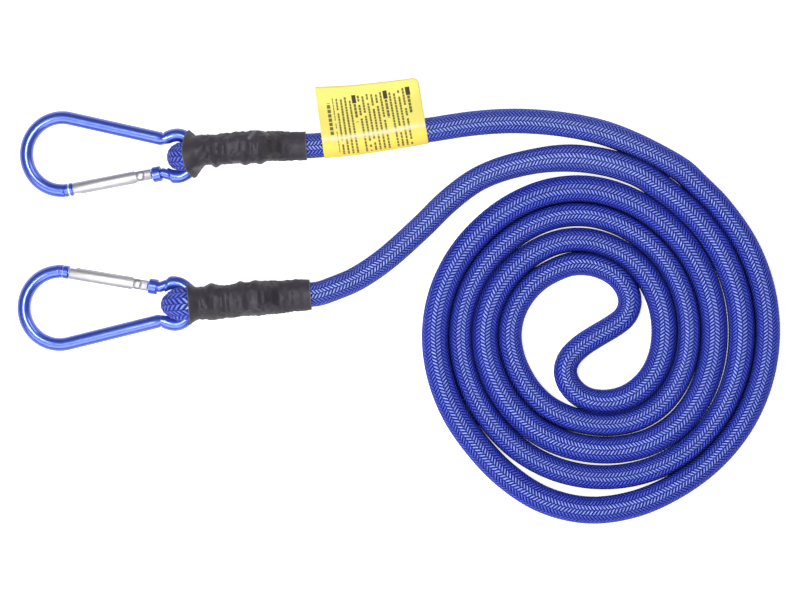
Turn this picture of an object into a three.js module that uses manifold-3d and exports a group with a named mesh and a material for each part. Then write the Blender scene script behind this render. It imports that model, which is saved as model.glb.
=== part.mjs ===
// Bungee cord with a snap hook at each end, coiled flat on a table.
// Millimetres, +Z up, the table at z = 0. The origin lies on the table, midway between
// the two hook ends. Both hooks point to -X and the coil lies to +X.
// An elastic cord is a rubber core in a braided sheath. Each end goes through the eye
// of a hook, is folded back on itself, clamped with three wire rings and covered by
// a shrunk rubber sleeve.

import * as THREE from 'three';
import { mergeVertices } from 'three/addons/utils/BufferGeometryUtils.js';
import Module from 'manifold-3d';

const wasm = await Module();
wasm.setup();

// Clearances and small values that several pieces share.
const pieceGap = 0.3;
const cutOverrun = 1;
const weldDepth = 0.4;

// Cord.
const cordDiameter = 10;
const sheathWall = 1.1;
const cordRadius = cordDiameter / 2;
const sheathBore = cordRadius - sheathWall;
const coreRadius = sheathBore - pieceGap;
const leadSides = 10;
const leadStepLength = 11.5;
const leadLift = 0.1;
const leadHeight = cordRadius + leadLift;

// Coil: two strands side by side wind inwards and join in an S at the middle. The first
// strand bulges by its slack where its outer turn lies loose. The play on each side of
// the cord keeps turns apart that touch on the real one.
const coil = {
  centreX: 169.4,
  centreY: -40.9,
  outerRadius: 72.1,
  strandPitch: 10.38,
  turnPlay: 0.2,
  oval: 1.4,
  ovalTurn: -59,
  slack: 2.5,
  slackTurn: -97,
  slackSpan: 42,
  firstEndTurn: 50,
  firstInnerTurn: -780,
  secondEndTurn: 60,
  secondInnerTurn: -600,
  turnStep: 15,
  sides: 6,
  stub: 10.5,
  leadJoin: 2,
  middleSteps: 20,
  tangentTurn: 1,
};
const apartShare = 3;

// The S in the middle of the coil, from the second strand to the first.
const middleRoute = [
  [163.3, -14.6], [171.7, -15.8], [178.6, -19.2], [183.2, -23.9], [185.0, -28.8],
  [183.5, -33.6], [179.0, -37.9], [172.6, -41.9], [166.3, -46.1], [161.8, -50.8],
  [160.4, -55.9], [162.6, -61.0], [168.0, -65.0], [175.7, -66.8],
];

// Leads: the two stretches between the sleeves and the coil.
const leadRouteA = [
  [74.2, 35.6], [90.2, 37.9], [106.2, 40.6], [124.2, 43.1], [140.5, 44.0],
  [158.2, 43.2], [174.2, 40.6], [185.7, 36.8], [196.4, 31.4],
];
const leadRouteB = [
  [68.2, -22.6], [76.2, -19.2], [87.7, -11.6], [103.0, 2.0], [113.2, 11.4], [124.2, 19.8],
  [133.8, 24.8], [143.8, 27.8], [154.2, 29.2], [164.2, 29.3], [173.6, 28.2], [182.3, 26.1],
];

// Hook: one bent rod, flat in its own plane, its eye bar at the hook's origin and its
// bow towards -x. The spine is on the +y side and the gate on the -y side.
const rodDiameter = 5.3;
const rodRadius = rodDiameter / 2;
const rodSides = 10;
const bowSteps = 15;
const eyeSteps = 14;
const waistSteps = 4;
const bowRadius = 14.6;
const bowDistance = 55.3;
const eyeRadius = 8.3;
const sideSlope = THREE.MathUtils.degToRad(11.5);
const waistBend = 3.6;

// Gate: a tube closed at the nose, forked at the hinge, on a rivet.
const gate = {
  diameter: 5,
  wall: 0.6,
  noseReach: 28.6,
  tailReach: 3.7,
  boreReach: 21.5,
  sides: 16,
  pivotDistance: 22.8,
  tongueThickness: 2.4,
  tongueHeight: 4,
  tongueReach: 1.6,
  tongueTipHeight: 2.4,
  tongueChamfer: 0.8,
  rivetDiameter: 1.5,
  rivetClearance: 0.2,
  rivetHeadDiameter: 3,
  rivetHeadHeight: 0.5,
  forkReach: 2.7,
};
const shoulder = { diameter: 6.1, length: 3.3, grooveDiameter: 4.3, grooveLength: 0.7 };
const nose = {
  headLength: 1.2, grooveLength: 1.3, grooveDiameter: 3.4,
  tongueLength: 3, tongueThickness: 2.6, tongueOuter: 1.6, tongueInner: 0.5,
};

// Pusher and its spring, inside the gate.
const pusher = { diameter: 3.1, stemDiameter: 1.5, headLength: 1.6, stemLength: 4, sides: 12 };
const spring = {
  wire: 0.45, coilDiameter: 2.9, turns: 7, steps: 8, sides: 5, playAtPusher: 0.6,
};

// Cord end: two legs, one on the other, in the sleeve. Along each end, x runs from the
// eye bar towards the coil.
const ring = { wire: 1.6, sides: 6, steps: 16, openAngle: 14, earLength: 1.1, earAngle: 40 };
const ringPlaces = [7, 18.5, 24.5];
const ringExponent = 3;
const squeezedWidthShare = 0.7;
const squeezedHeightShare = 0.78;
const squeezeLength = 1.9;
const legSpread = 1.1;
const ringPlay = 0.5;
const legGap = pieceGap;
const tailPast = 2.6;
const joinInside = 3;
const sleeve = {
  wall: 0.65,
  play: 0.4,
  sides: 16,
  mouthPlace: -2.4,
  mouthHalf: 10.5,
  barHalf: 9,
  neckHalf: 6.4,
  neckDrop: 0.7,
  hold: 7,
  lumpLength: 2,
};
const sleeveExponent = 3;
const barExponent = 2.2;
const roundExponent = 2;
const lumpSharpness = 6;
const loopWidthShare = 0.93;
const cordEndSides = 8;
const loopSteps = 9;
const halvings = 40;

// Tag: a folded film label round the first lead.
const tag = {
  film: 0.3, width: 42, start: 9.2, reach: 23.2, tipDrop: 4.8, steps: 6, wrapSteps: 12, wrapTurn: 20,
};
const apexShare = 1 / 3;

// Where the two ends lie. Turns are in degrees about Z, drift is the sideways step
// from the eye bar to the middle of the sleeve, and the first level points of a lead
// stay at the sleeve's height.
const endA = {
  name: 'a',
  flipped: false,
  barX: 13.6,
  barY: 30.0,
  hookTurn: -1.0,
  sleeveTurn: 2.6,
  drift: 2.2,
  mouthDrift: 1.0,
  sleeveLength: 43.3,
  lip: 3.6,
  levelPoints: 3,
};
const endB = {
  name: 'b',
  flipped: true,
  barX: 12.6,
  barY: -28.5,
  hookTurn: 2.2,
  sleeveTurn: 4.5,
  drift: -0.3,
  mouthDrift: -0.3,
  sleeveLength: 46.0,
  lip: 0.6,
  levelPoints: 1,
};

// Heights. The loop through the eye is the tallest place, and its sleeve rests on the table.
const loopRadius = rodRadius + pieceGap + cordRadius;
const barHeight = loopRadius + cordRadius + pieceGap + sleeve.wall;
const legSpacing = cordDiameter + legGap;
const ringHalfWidth = cordRadius * squeezedWidthShare + ringPlay + ring.wire / 2;
const ringHalfHeight = (
  legSpacing / 2 + cordRadius * squeezedHeightShare + ringPlay + ring.wire / 2);
const midHeight = ringHalfHeight + ring.wire / 2 + sleeve.play + sleeve.wall;
const exitHeight = cordRadius + sleeve.play + sleeve.wall;
const hookTilt = Math.asin((barHeight - rodRadius) / (bowDistance + bowRadius));

// Materials.
const blueAnodised = new THREE.MeshStandardMaterial({ color: 0x1f2f9e, roughness: 0.35, metalness: 0.7 });
const satinSteel = new THREE.MeshStandardMaterial({ color: 0xc9cacc, roughness: 0.3, metalness: 0.9 });
const brightSteel = new THREE.MeshStandardMaterial({ color: 0xb8babd, roughness: 0.35, metalness: 0.9 });
const blueBraid = new THREE.MeshStandardMaterial({ color: 0x2438b0, roughness: 0.8, metalness: 0 });
const latex = new THREE.MeshStandardMaterial({ color: 0xd9cfa8, roughness: 0.7, metalness: 0 });
const blackRubber = new THREE.MeshStandardMaterial({ color: 0x3a383d, roughness: 0.75, metalness: 0 });
const yellowFilm = new THREE.MeshStandardMaterial({ color: 0xf2dc5a, roughness: 0.5, metalness: 0 });

// Geometry helpers.

// A closed section: a superellipse with the given half sizes, as [across, up] points.
function ovalSection(sides, halfWidth, halfHeight, exponent = 2, firstAngle = 0) {
  const points = [];
  for (let i = 0; i < sides; i += 1) {
    const angle = firstAngle + (i / sides) * 2 * Math.PI;
    const c = Math.cos(angle);
    const s = Math.sin(angle);
    points.push([
      halfWidth * Math.sign(c) * Math.abs(c) ** (2 / exponent),
      halfHeight * Math.sign(s) * Math.abs(s) ** (2 / exponent),
    ]);
  }
  return points;
}

// Tangents along a list of points, from their neighbours.
function tangentsOf(points) {
  return points.map((point, i) => {
    const before = points[Math.max(i - 1, 0)];
    const after = points[Math.min(i + 1, points.length - 1)];
    return after.clone().sub(before).normalize();
  });
}

// One ring of a sweep: the section's points in the plane across the path.
function ringPoints(at, tangent, up, section) {
  const across = up.clone().cross(tangent).normalize();
  const over = tangent.clone().cross(across);
  return section.map(([a, b]) => at.clone().addScaledVector(across, a).addScaledVector(over, b));
}

// A closed body through rings of points, hollow and open at both ends if it has inner rings.
function bodyFromRings(outer, inner = null) {
  const sides = outer[0].length;
  const positions = [];
  const indices = [];
  const addRings = (rings) => {
    const start = positions.length / 3;
    rings.forEach((points) => points.forEach((p) => positions.push(p.x, p.y, p.z)));
    return start;
  };
  const quad = (a, b, c, d) => indices.push(a, b, c, a, c, d);
  const outerStart = addRings(outer);
  const last = (outer.length - 1) * sides;
  for (let i = 0; i < outer.length - 1; i += 1) {
    for (let j = 0; j < sides; j += 1) {
      const next = (j + 1) % sides;
      const a = outerStart + i * sides;
      quad(a + j, a + next, a + sides + next, a + sides + j);
    }
  }
  if (inner) {
    const innerStart = addRings(inner);
    for (let i = 0; i < inner.length - 1; i += 1) {
      for (let j = 0; j < sides; j += 1) {
        const next = (j + 1) % sides;
        const a = innerStart + i * sides;
        quad(a + j, a + sides + j, a + sides + next, a + next);
      }
    }
    for (let j = 0; j < sides; j += 1) {
      const next = (j + 1) % sides;
      quad(outerStart + j, innerStart + j, innerStart + next, outerStart + next);
      const outerEnd = outerStart + last;
      const innerEnd = innerStart + last;
      quad(outerEnd + j, outerEnd + next, innerEnd + next, innerEnd + j);
    }
  } else {
    for (let j = 1; j < sides - 1; j += 1) {
      indices.push(outerStart, outerStart + j + 1, outerStart + j);
      indices.push(outerStart + last, outerStart + last + j, outerStart + last + j + 1);
    }
  }
  const geometry = new THREE.BufferGeometry();
  geometry.setAttribute('position', new THREE.Float32BufferAttribute(positions, 3));
  geometry.setIndex(indices);
  geometry.computeVertexNormals();
  return geometry;
}

// A tube of one section along points, with up as the direction that stays upright.
function sweepAlong(points, section, up, holeSection = null) {
  const tangents = tangentsOf(points);
  const outer = points.map((point, i) => ringPoints(point, tangents[i], up, section));
  const inner = holeSection
    ? points.map((point, i) => ringPoints(point, tangents[i], up, holeSection))
    : null;
  return bodyFromRings(outer, inner);
}

function arcPoints(centreX, centreY, radius, from, to, steps) {
  const points = [];
  for (let i = 0; i <= steps; i += 1) {
    const angle = from + ((to - from) * i) / steps;
    points.push(new THREE.Vector3(
      centreX + radius * Math.cos(angle), centreY + radius * Math.sin(angle), 0));
  }
  return points;
}

function solidOf(geometry) {
  const bare = new THREE.BufferGeometry();
  bare.setAttribute('position', geometry.getAttribute('position').clone());
  if (geometry.getIndex()) {
    bare.setIndex(geometry.getIndex().clone());
  }
  const merged = mergeVertices(bare);
  return new wasm.Manifold(new wasm.Mesh({
    numProp: 3,
    vertProperties: new Float32Array(merged.getAttribute('position').array),
    triVerts: new Uint32Array(merged.getIndex().array),
  }));
}

function geometryOf(solid) {
  const mesh = solid.getMesh();
  const geometry = new THREE.BufferGeometry();
  const positions = new Float32Array(mesh.vertProperties);
  geometry.setAttribute('position', new THREE.BufferAttribute(positions, 3));
  geometry.setIndex(new THREE.BufferAttribute(new Uint32Array(mesh.triVerts), 1));
  geometry.computeVertexNormals();
  return geometry;
}

// A cylinder along x, from one x to another.
function rodAlongX(fromX, toX, diameter, sides) {
  const geometry = new THREE.CylinderGeometry(diameter / 2, diameter / 2, toX - fromX, sides);
  geometry.rotateZ(-Math.PI / 2);
  geometry.translate((fromX + toX) / 2, 0, 0);
  return geometry;
}

function boxBetween(low, high) {
  const geometry = new THREE.BoxGeometry(high[0] - low[0], high[1] - low[1], high[2] - low[2]);
  geometry.translate((low[0] + high[0]) / 2, (low[1] + high[1]) / 2, (low[2] + high[2]) / 2);
  return geometry;
}

function mesh(name, geometry, material) {
  const made = new THREE.Mesh(geometry, material);
  made.name = name;
  return made;
}

const flatUp = new THREE.Vector3(0, 0, 1);

// Hook frame.

// The hinge pivot and nose lie on the gate's line, which touches the bow like the spine's.
const pivotHeight = bowRadius * Math.cos(sideSlope)
  - (bowDistance - gate.pivotDistance - bowRadius * Math.sin(sideSlope)) * Math.tan(sideSlope);
const headFace = -gate.noseReach - pieceGap;
const headBack = headFace - nose.headLength;
const rodEndX = headBack - nose.grooveLength;
const shoulderFace = gate.tailReach + pieceGap;
const shoulderBack = shoulderFace + shoulder.length;
const neckStart = shoulderBack + shoulder.grooveLength;

// Places a shape that is drawn along the gate, with the pivot at its origin, in the hook.
function toGateLine(geometry) {
  geometry.rotateZ(sideSlope);
  geometry.translate(-gate.pivotDistance, -pivotHeight, 0);
  return geometry;
}

// The bent rod from the nose round the bow, the spine, the waist and the eye to the neck.
function rodRoute() {
  const touch = Math.PI / 2 - sideSlope;
  const noseAlong = rodEndX * Math.cos(sideSlope) - gate.pivotDistance + bowDistance;
  const noseAngle = -Math.acos(noseAlong / bowRadius);
  const bowIn = arcPoints(-bowDistance, 0, bowRadius, 2 * Math.PI + noseAngle, touch, bowSteps);
  // The waist's arc touches the spine's line and the eye's circle from outside.
  const along = new THREE.Vector3(Math.cos(sideSlope), -Math.sin(sideSlope), 0);
  const left = new THREE.Vector3(Math.sin(sideSlope), Math.cos(sideSlope), 0);
  const lineStart = bowIn[bowIn.length - 1].clone().addScaledVector(left, waistBend);
  const eyeCentre = new THREE.Vector3(-eyeRadius, 0, 0);
  const toStart = lineStart.clone().sub(eyeCentre);
  const reach = eyeRadius + waistBend;
  const half = toStart.dot(along);
  const distance = -half - Math.sqrt(half * half - toStart.lengthSq() + reach * reach);
  const waistCentre = lineStart.addScaledVector(along, distance);
  const towardsEye = eyeCentre.clone().sub(waistCentre);
  const eyeSide = Math.atan2(towardsEye.y, towardsEye.x);
  const waistFrom = -Math.PI / 2 - sideSlope;
  const waist = arcPoints(waistCentre.x, waistCentre.y, waistBend, waistFrom, eyeSide, waistSteps);
  const eyeAngle = eyeSide + Math.PI;
  const eye = arcPoints(eyeCentre.x, eyeCentre.y, eyeRadius, eyeAngle, -eyeAngle, eyeSteps);
  const mirroredWaist = waist.map((p) => new THREE.Vector3(p.x, -p.y, 0)).reverse();
  const neck = new THREE.Vector3(neckStart - weldDepth, 0, 0)
    .applyAxisAngle(flatUp, sideSlope)
    .add(new THREE.Vector3(-gate.pivotDistance, -pivotHeight, 0));
  return [...bowIn, ...waist, ...eye.slice(1, -1), ...mirroredWaist, neck];
}

function hookFrameGeometry() {
  const facetTurn = Math.PI / rodSides;
  const rodSection = ovalSection(rodSides, rodRadius, rodRadius, 2, facetTurn);
  let frame = solidOf(sweepAlong(rodRoute(), rodSection, flatUp));
  const tongueShape = new THREE.Shape();
  const tall = gate.tongueHeight / 2;
  const tip = gate.tongueTipHeight / 2;
  tongueShape.moveTo(shoulderFace + weldDepth, -tall);
  tongueShape.lineTo(shoulderFace + weldDepth, tall);
  tongueShape.lineTo(-gate.tongueReach + gate.tongueChamfer, tall);
  tongueShape.lineTo(-gate.tongueReach, tip);
  tongueShape.lineTo(-gate.tongueReach, -tip);
  tongueShape.lineTo(-gate.tongueReach + gate.tongueChamfer, -tall);
  tongueShape.closePath();
  const rivetHole = new THREE.Path();
  rivetHole.absarc(0, 0, gate.rivetDiameter / 2 + gate.rivetClearance, 0, 2 * Math.PI, true);
  tongueShape.holes.push(rivetHole);
  const tongue = new THREE.ExtrudeGeometry(tongueShape, {
    depth: gate.tongueThickness, bevelEnabled: false, curveSegments: gate.sides / 2,
  });
  tongue.translate(0, 0, -gate.tongueThickness / 2);
  const added = [
    tongue,
    rodAlongX(shoulderFace, shoulderBack, shoulder.diameter, gate.sides),
    rodAlongX(shoulderBack - weldDepth, neckStart, shoulder.grooveDiameter, gate.sides),
    rodAlongX(headBack, headFace, rodDiameter, gate.sides),
    rodAlongX(rodEndX - weldDepth, headBack + weldDepth, nose.grooveDiameter, gate.sides),
    boxBetween(
      [headFace - weldDepth, -nose.tongueOuter, -nose.tongueThickness / 2],
      [headFace + nose.tongueLength, nose.tongueInner, nose.tongueThickness / 2]),
  ];
  for (const geometry of added) {
    frame = frame.add(solidOf(toGateLine(geometry)));
  }
  return geometryOf(frame);
}

// Gate, in its own frame: the pivot at the origin and the nose towards -x.
function gateGeometry() {
  let body = solidOf(rodAlongX(-gate.noseReach, gate.tailReach, gate.diameter, gate.sides));
  const roundEnd = new THREE.CylinderGeometry(
    gate.tailReach, gate.tailReach, gate.diameter + cutOverrun, 2 * gate.sides);
  roundEnd.rotateX(Math.PI / 2);
  const middle = boxBetween(
    [-gate.noseReach - cutOverrun, -gate.diameter, -gate.diameter],
    [0, gate.diameter, gate.diameter]);
  body = body.intersect(solidOf(roundEnd).add(solidOf(middle)));
  const bore = rodAlongX(
    -gate.boreReach, gate.tailReach + cutOverrun, gate.diameter - 2 * gate.wall, gate.sides);
  const forkHalf = gate.tongueThickness / 2 + pieceGap;
  const fork = boxBetween(
    [-gate.forkReach, -gate.diameter, -forkHalf],
    [gate.tailReach + cutOverrun, gate.diameter, forkHalf]);
  const slotHalf = nose.tongueThickness / 2 + pieceGap;
  const slot = boxBetween(
    [-gate.noseReach - cutOverrun, -gate.diameter, -slotHalf],
    [headFace + nose.tongueLength + pieceGap, nose.tongueInner + pieceGap, slotHalf]);
  const rivetHole = new THREE.CylinderGeometry(
    gate.rivetDiameter / 2 + gate.rivetClearance, gate.rivetDiameter / 2 + gate.rivetClearance,
    gate.diameter + cutOverrun, gate.sides);
  rivetHole.rotateX(Math.PI / 2);
  for (const cut of [bore, fork, slot, rivetHole]) {
    body = body.subtract(solidOf(cut));
  }
  return geometryOf(body);
}

// Rivet through the fork and the tongue, a head over each cheek.
function rivetGeometry() {
  const shank = gate.rivetDiameter / 2;
  const head = gate.rivetHeadDiameter / 2;
  const under = gate.diameter / 2 + pieceGap;
  const top = under + gate.rivetHeadHeight;
  const profile = [
    [0, -top], [head, -top], [head, -under], [shank, -under],
    [shank, under], [head, under], [head, top], [0, top],
  ].map(([r, z]) => new THREE.Vector2(r, z));
  const geometry = new THREE.LatheGeometry(profile, gate.sides);
  geometry.rotateX(Math.PI / 2);
  return geometry;
}

// Pusher: its head bears on the tongue, its stem guides the spring.
const pusherFace = -gate.tongueReach - pieceGap;
function pusherGeometry() {
  const head = pusher.diameter / 2;
  const stem = pusher.stemDiameter / 2;
  const length = pusher.headLength + pusher.stemLength;
  const profile = [
    [0, 0], [head, 0], [head, pusher.headLength],
    [stem, pusher.headLength], [stem, length], [0, length],
  ].map(([r, y]) => new THREE.Vector2(r, y));
  const geometry = new THREE.LatheGeometry(profile, pusher.sides);
  geometry.rotateZ(Math.PI / 2);
  geometry.translate(pusherFace, 0, 0);
  return geometry;
}

// Helical spring between the pusher's head and the closed end of the bore.
const springStart = pusherFace - pusher.headLength - spring.playAtPusher - spring.wire / 2;
const springEnd = -gate.boreReach + pieceGap + spring.wire / 2;
function springGeometry() {
  const points = [];
  const count = spring.turns * spring.steps;
  const radius = (spring.coilDiameter - spring.wire) / 2;
  for (let i = 0; i <= count; i += 1) {
    const angle = (i / spring.steps) * 2 * Math.PI;
    const x = springStart + ((springEnd - springStart) * i) / count;
    points.push(new THREE.Vector3(x, radius * Math.cos(angle), radius * Math.sin(angle)));
  }
  const section = ovalSection(spring.sides, spring.wire / 2, spring.wire / 2);
  return sweepAlong(points, section, new THREE.Vector3(1, 0, 0));
}

// Cord end.

const smooth = (share) => {
  const t = Math.min(Math.max(share, 0), 1);
  return t * t * (3 - 2 * t);
};

// How much a ring squeezes the cord at x: 1 at a ring, 0 away from it.
function squeezeAt(x) {
  return Math.max(...ringPlaces.map((place) => 1 - smooth(Math.abs(x - place) / squeezeLength)));
}

const tailEnd = ringPlaces[ringPlaces.length - 1] + tailPast;

// Sideways step of the legs and the sleeve, which dies out at the first ring.
function driftAt(end, x) {
  return -end.drift * (1 - smooth(x / ringPlaces[0]));
}

// Height of the plane between the two legs, above the table.
const lastRing = ringPlaces[ringPlaces.length - 1];
const midAt = (x) => barHeight + (midHeight - barHeight) * Math.min(x / lastRing, 1);

// Half the distance between the two legs: wider at the first ring.
const halfSpacingAt = (x) => legSpacing / 2
  + legSpread * (1 - smooth((x - ringPlaces[0]) / (ringPlaces[1] - ringPlaces[0])));

const upperLegHeight = (x) => midAt(x) + halfSpacingAt(x);

function lowerLegHeight(end, x) {
  const besideRings = midAt(x) - halfSpacingAt(x);
  const level = end.sleeveLength - joinInside - cordRadius;
  return besideRings + (exitHeight - besideRings) * smooth((x - lastRing) / (level - lastRing));
}

// The angle past the loop's top or bottom where a leg leaves it towards the first ring.
function leavingAngle(targetRise) {
  let low = 0;
  let high = Math.PI / 3;
  for (let i = 0; i < halvings; i += 1) {
    const angle = (low + high) / 2;
    const rise = loopRadius * Math.cos(angle)
      - (ringPlaces[0] - loopRadius * Math.sin(angle)) * Math.tan(angle);
    if (rise > targetRise) {
      low = angle;
    } else {
      high = angle;
    }
  }
  return low;
}

// Stations of a cord end from the tail's cut end round the eye bar to the lead.
function cordEndStations(end) {
  const stations = [];
  const add = (x, z, squeeze, loop = 0) => stations.push({
    at: new THREE.Vector3(x, driftAt(end, x), z), squeeze, loop,
  });
  const legPlaces = ringPlaces.flatMap((place, i) => (i === 0
    ? [place, place + squeezeLength]
    : [place - squeezeLength, place, place + squeezeLength]));
  add(tailEnd, upperLegHeight(tailEnd), 0);
  [...legPlaces].reverse().slice(1).forEach((x) => add(x, upperLegHeight(x), squeezeAt(x)));
  const upperLeave = leavingAngle(upperLegHeight(ringPlaces[0]) - barHeight);
  const lowerLeave = leavingAngle(barHeight - lowerLegHeight(end, ringPlaces[0]));
  const from = Math.PI / 2 - upperLeave;
  const to = 1.5 * Math.PI + lowerLeave;
  for (let i = 0; i <= loopSteps; i += 1) {
    const angle = from + ((to - from) * i) / loopSteps;
    add(loopRadius * Math.cos(angle), barHeight + loopRadius * Math.sin(angle), 0, 1);
  }
  legPlaces.forEach((x) => add(x, lowerLegHeight(end, x), squeezeAt(x)));
  const straight = end.sleeveLength - joinInside;
  add((tailEnd + straight) / 2, lowerLegHeight(end, (tailEnd + straight) / 2), 0);
  add(straight - cordRadius, exitHeight, 0);
  add(straight, exitHeight, 0);
  return stations;
}

// A cord end as a body. The section is squeezed at the rings and a little in the eye.
function cordEndGeometry(end, outerRadius, holeRadius) {
  const stations = cordEndStations(end);
  const tangents = tangentsOf(stations.map((station) => station.at));
  stations.forEach((station, i) => {
    if (!station.loop) {
      tangents[i].set(Math.sign(tangents[i].x), 0, 0);
    }
  });
  const sideways = new THREE.Vector3(0, 1, 0);
  const ringsOf = (radius) => stations.map((station, i) => {
    const narrow = (1 - (1 - squeezedWidthShare) * station.squeeze)
      * (1 - (1 - loopWidthShare) * station.loop);
    const low = 1 - (1 - squeezedHeightShare) * station.squeeze;
    const section = ovalSection(cordEndSides, radius * low, radius * narrow);
    return ringPoints(station.at, tangents[i], sideways, section);
  });
  return bodyFromRings(ringsOf(outerRadius), holeRadius ? ringsOf(holeRadius) : null);
}

// Wire ring round both legs, open on the side where its two ends stand out as ears.
function ringGeometry(earSide, place) {
  const halfHeight = ringHalfHeight + halfSpacingAt(place) - legSpacing / 2;
  const open = THREE.MathUtils.degToRad(ring.openAngle);
  const ear = THREE.MathUtils.degToRad(ring.earAngle);
  const points = [];
  for (let i = 0; i <= ring.steps; i += 1) {
    const angle = open + ((2 * Math.PI - 2 * open) * i) / ring.steps;
    const fromEnd = Math.min(angle, 2 * Math.PI - angle) - open;
    const stand = ring.earLength * (1 - smooth(fromEnd / ear));
    const [[y, z]] = ovalSection(1, ringHalfWidth + stand, halfHeight, ringExponent, angle);
    points.push(new THREE.Vector3(0, y * earSide, z));
  }
  const section = ovalSection(ring.sides, ring.wire / 2, ring.wire / 2);
  return sweepAlong(points, section, new THREE.Vector3(1, 0, 0));
}

// Shrunk sleeve: wide at the eye, tight round the two legs and the rings, then round
// the single cord.
function sleeveStations(end) {
  const oneLeg = cordRadius + sleeve.play;
  const overRing = sleeve.play + ring.wire / 2;
  const loopHalf = loopRadius + cordRadius + pieceGap;
  const besideRing = (x) => ({
    x, drift: driftAt(end, x), width: oneLeg, height: halfSpacingAt(x) + oneLeg, z: midAt(x),
  });
  const atRing = (x) => ({
    x, drift: 0, width: ringHalfWidth + overRing, z: midAt(x), lump: ring.earLength,
    height: ringHalfHeight + overRing + halfSpacingAt(x) - legSpacing / 2,
  });
  const single = tailEnd + sleeve.hold;
  return [
    { x: sleeve.mouthPlace, drift: -end.mouthDrift, width: sleeve.mouthHalf, height: loopHalf,
      z: barHeight, exponent: roundExponent, lip: end.lip },
    { x: 0, drift: -end.drift, width: sleeve.barHalf, height: loopHalf, z: barHeight,
      exponent: barExponent },
    { x: ringPlaces[0] - sleeve.lumpLength, drift: driftAt(end, ringPlaces[0] - sleeve.lumpLength),
      width: sleeve.neckHalf, height: loopHalf - sleeve.neckDrop, z: barHeight },
    atRing(ringPlaces[0]), besideRing(ringPlaces[0] + sleeve.lumpLength),
    besideRing(ringPlaces[1] - sleeve.lumpLength), atRing(ringPlaces[1]),
    besideRing(ringPlaces[1] + sleeve.lumpLength), atRing(ringPlaces[2]),
    besideRing(tailEnd + pieceGap),
    { x: single, drift: 0, width: oneLeg, height: oneLeg, z: lowerLegHeight(end, single),
      exponent: roundExponent },
    { x: end.sleeveLength, drift: 0, width: oneLeg, height: oneLeg, z: exitHeight,
      exponent: roundExponent },
  ];
}

function sleeveGeometry(end, earSide) {
  const roundTrip = 1 / Math.cos(Math.PI / sleeve.sides);
  const ringAt = (station, wall) => {
    const { exponent = sleeveExponent, lump = 0, lip = 0 } = station;
    const halfWidth = station.width * roundTrip + wall;
    const halfHeight = station.height + wall;
    return ovalSection(sleeve.sides, halfWidth, halfHeight, exponent).map(([y, z]) => {
      const facing = Math.max(0, (y * earSide) / halfWidth);
      return new THREE.Vector3(
        station.x - lip * Math.abs(z / halfHeight),
        station.drift + y + lump * earSide * facing ** lumpSharpness,
        station.z + z);
    });
  };
  const stations = sleeveStations(end);
  const outer = stations.map((station) => ringAt(station, sleeve.wall));
  return bodyFromRings(outer, stations.map((station) => ringAt(station, 0)));
}

// Coil.

function strandPoint(turnDegrees, second) {
  const angle = THREE.MathUtils.degToRad(turnDegrees);
  const wave = coil.oval * Math.cos(2 * (angle - THREE.MathUtils.degToRad(coil.ovalTurn)));
  const bulge = coil.slack * (1 - smooth(Math.abs(turnDegrees - coil.slackTurn) / coil.slackSpan));
  const start = coil.outerRadius + (second ? -coil.strandPitch : bulge);
  const radius = start + (2 * coil.strandPitch * turnDegrees) / 360 + wave;
  return new THREE.Vector3(
    coil.centreX + radius * Math.cos(angle), coil.centreY + radius * Math.sin(angle), cordRadius);
}

// The straight stub at an outer end, outwards along the strand.
function stubEnd(turnDegrees, second, length) {
  const at = strandPoint(turnDegrees, second);
  const before = strandPoint(turnDegrees - coil.tangentTurn, second);
  return at.clone().addScaledVector(at.clone().sub(before).normalize(), length);
}

// Points of one strand, outwards.
function strandRoute(innerTurn, endTurn, second) {
  const points = [];
  for (let turn = innerTurn; turn < endTurn; turn += coil.turnStep) {
    points.push(strandPoint(turn, second));
  }
  points.push(strandPoint(endTurn, second));
  return points;
}

function coilRoute() {
  const first = strandRoute(coil.firstInnerTurn, coil.firstEndTurn, false).reverse();
  const second = strandRoute(coil.secondInnerTurn, coil.secondEndTurn, true);
  // The curve takes three points of each strand, so that it joins them without a bend.
  const shared = 3;
  const through = [
    ...first.slice(-shared),
    ...middleRoute.map(([x, y]) => new THREE.Vector3(x, y, cordRadius)).reverse(),
    ...second.slice(0, shared),
  ];
  const curve = new THREE.CatmullRomCurve3(through, false, 'centripetal');
  const share = (k) => k / (through.length - 1);
  const middle = [];
  for (let i = 1; i < coil.middleSteps; i += 1) {
    const from = share(shared - 1);
    const to = share(through.length - shared);
    middle.push(curve.getPoint(from + ((to - from) * i) / coil.middleSteps));
  }
  return [
    stubEnd(coil.firstEndTurn, false, coil.stub), stubEnd(coil.firstEndTurn, false, coil.stub / 2),
    ...first, ...middle, ...second,
    stubEnd(coil.secondEndTurn, true, coil.stub / 2), stubEnd(coil.secondEndTurn, true, coil.stub),
  ];
}

function coilSection(radius) {
  return ovalSection(coil.sides, radius - coil.turnPlay, radius / Math.cos(Math.PI / coil.sides));
}

// Least gap of the coil to itself, on points along its two sides.
function leastGap(route) {
  const fine = [];
  const stepsBetween = 6;
  for (let i = 0; i < route.length - 1; i += 1) {
    for (let k = 0; k < stepsBetween; k += 1) {
      fine.push(route[i].clone().lerp(route[i + 1], k / stepsBetween));
    }
  }
  const along = [0];
  for (let i = 1; i < fine.length; i += 1) {
    along.push(along[i - 1] + fine[i].distanceTo(fine[i - 1]));
  }
  let least = Infinity;
  for (let i = 0; i < fine.length; i += 1) {
    for (let j = i + 1; j < fine.length; j += 1) {
      if (along[j] - along[i] > apartShare * cordDiameter) {
        least = Math.min(least, fine[i].distanceTo(fine[j]));
      }
    }
  }
  return { gap: least - cordDiameter + 2 * coil.turnPlay, length: along[along.length - 1] };
}

// Leads.

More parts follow.
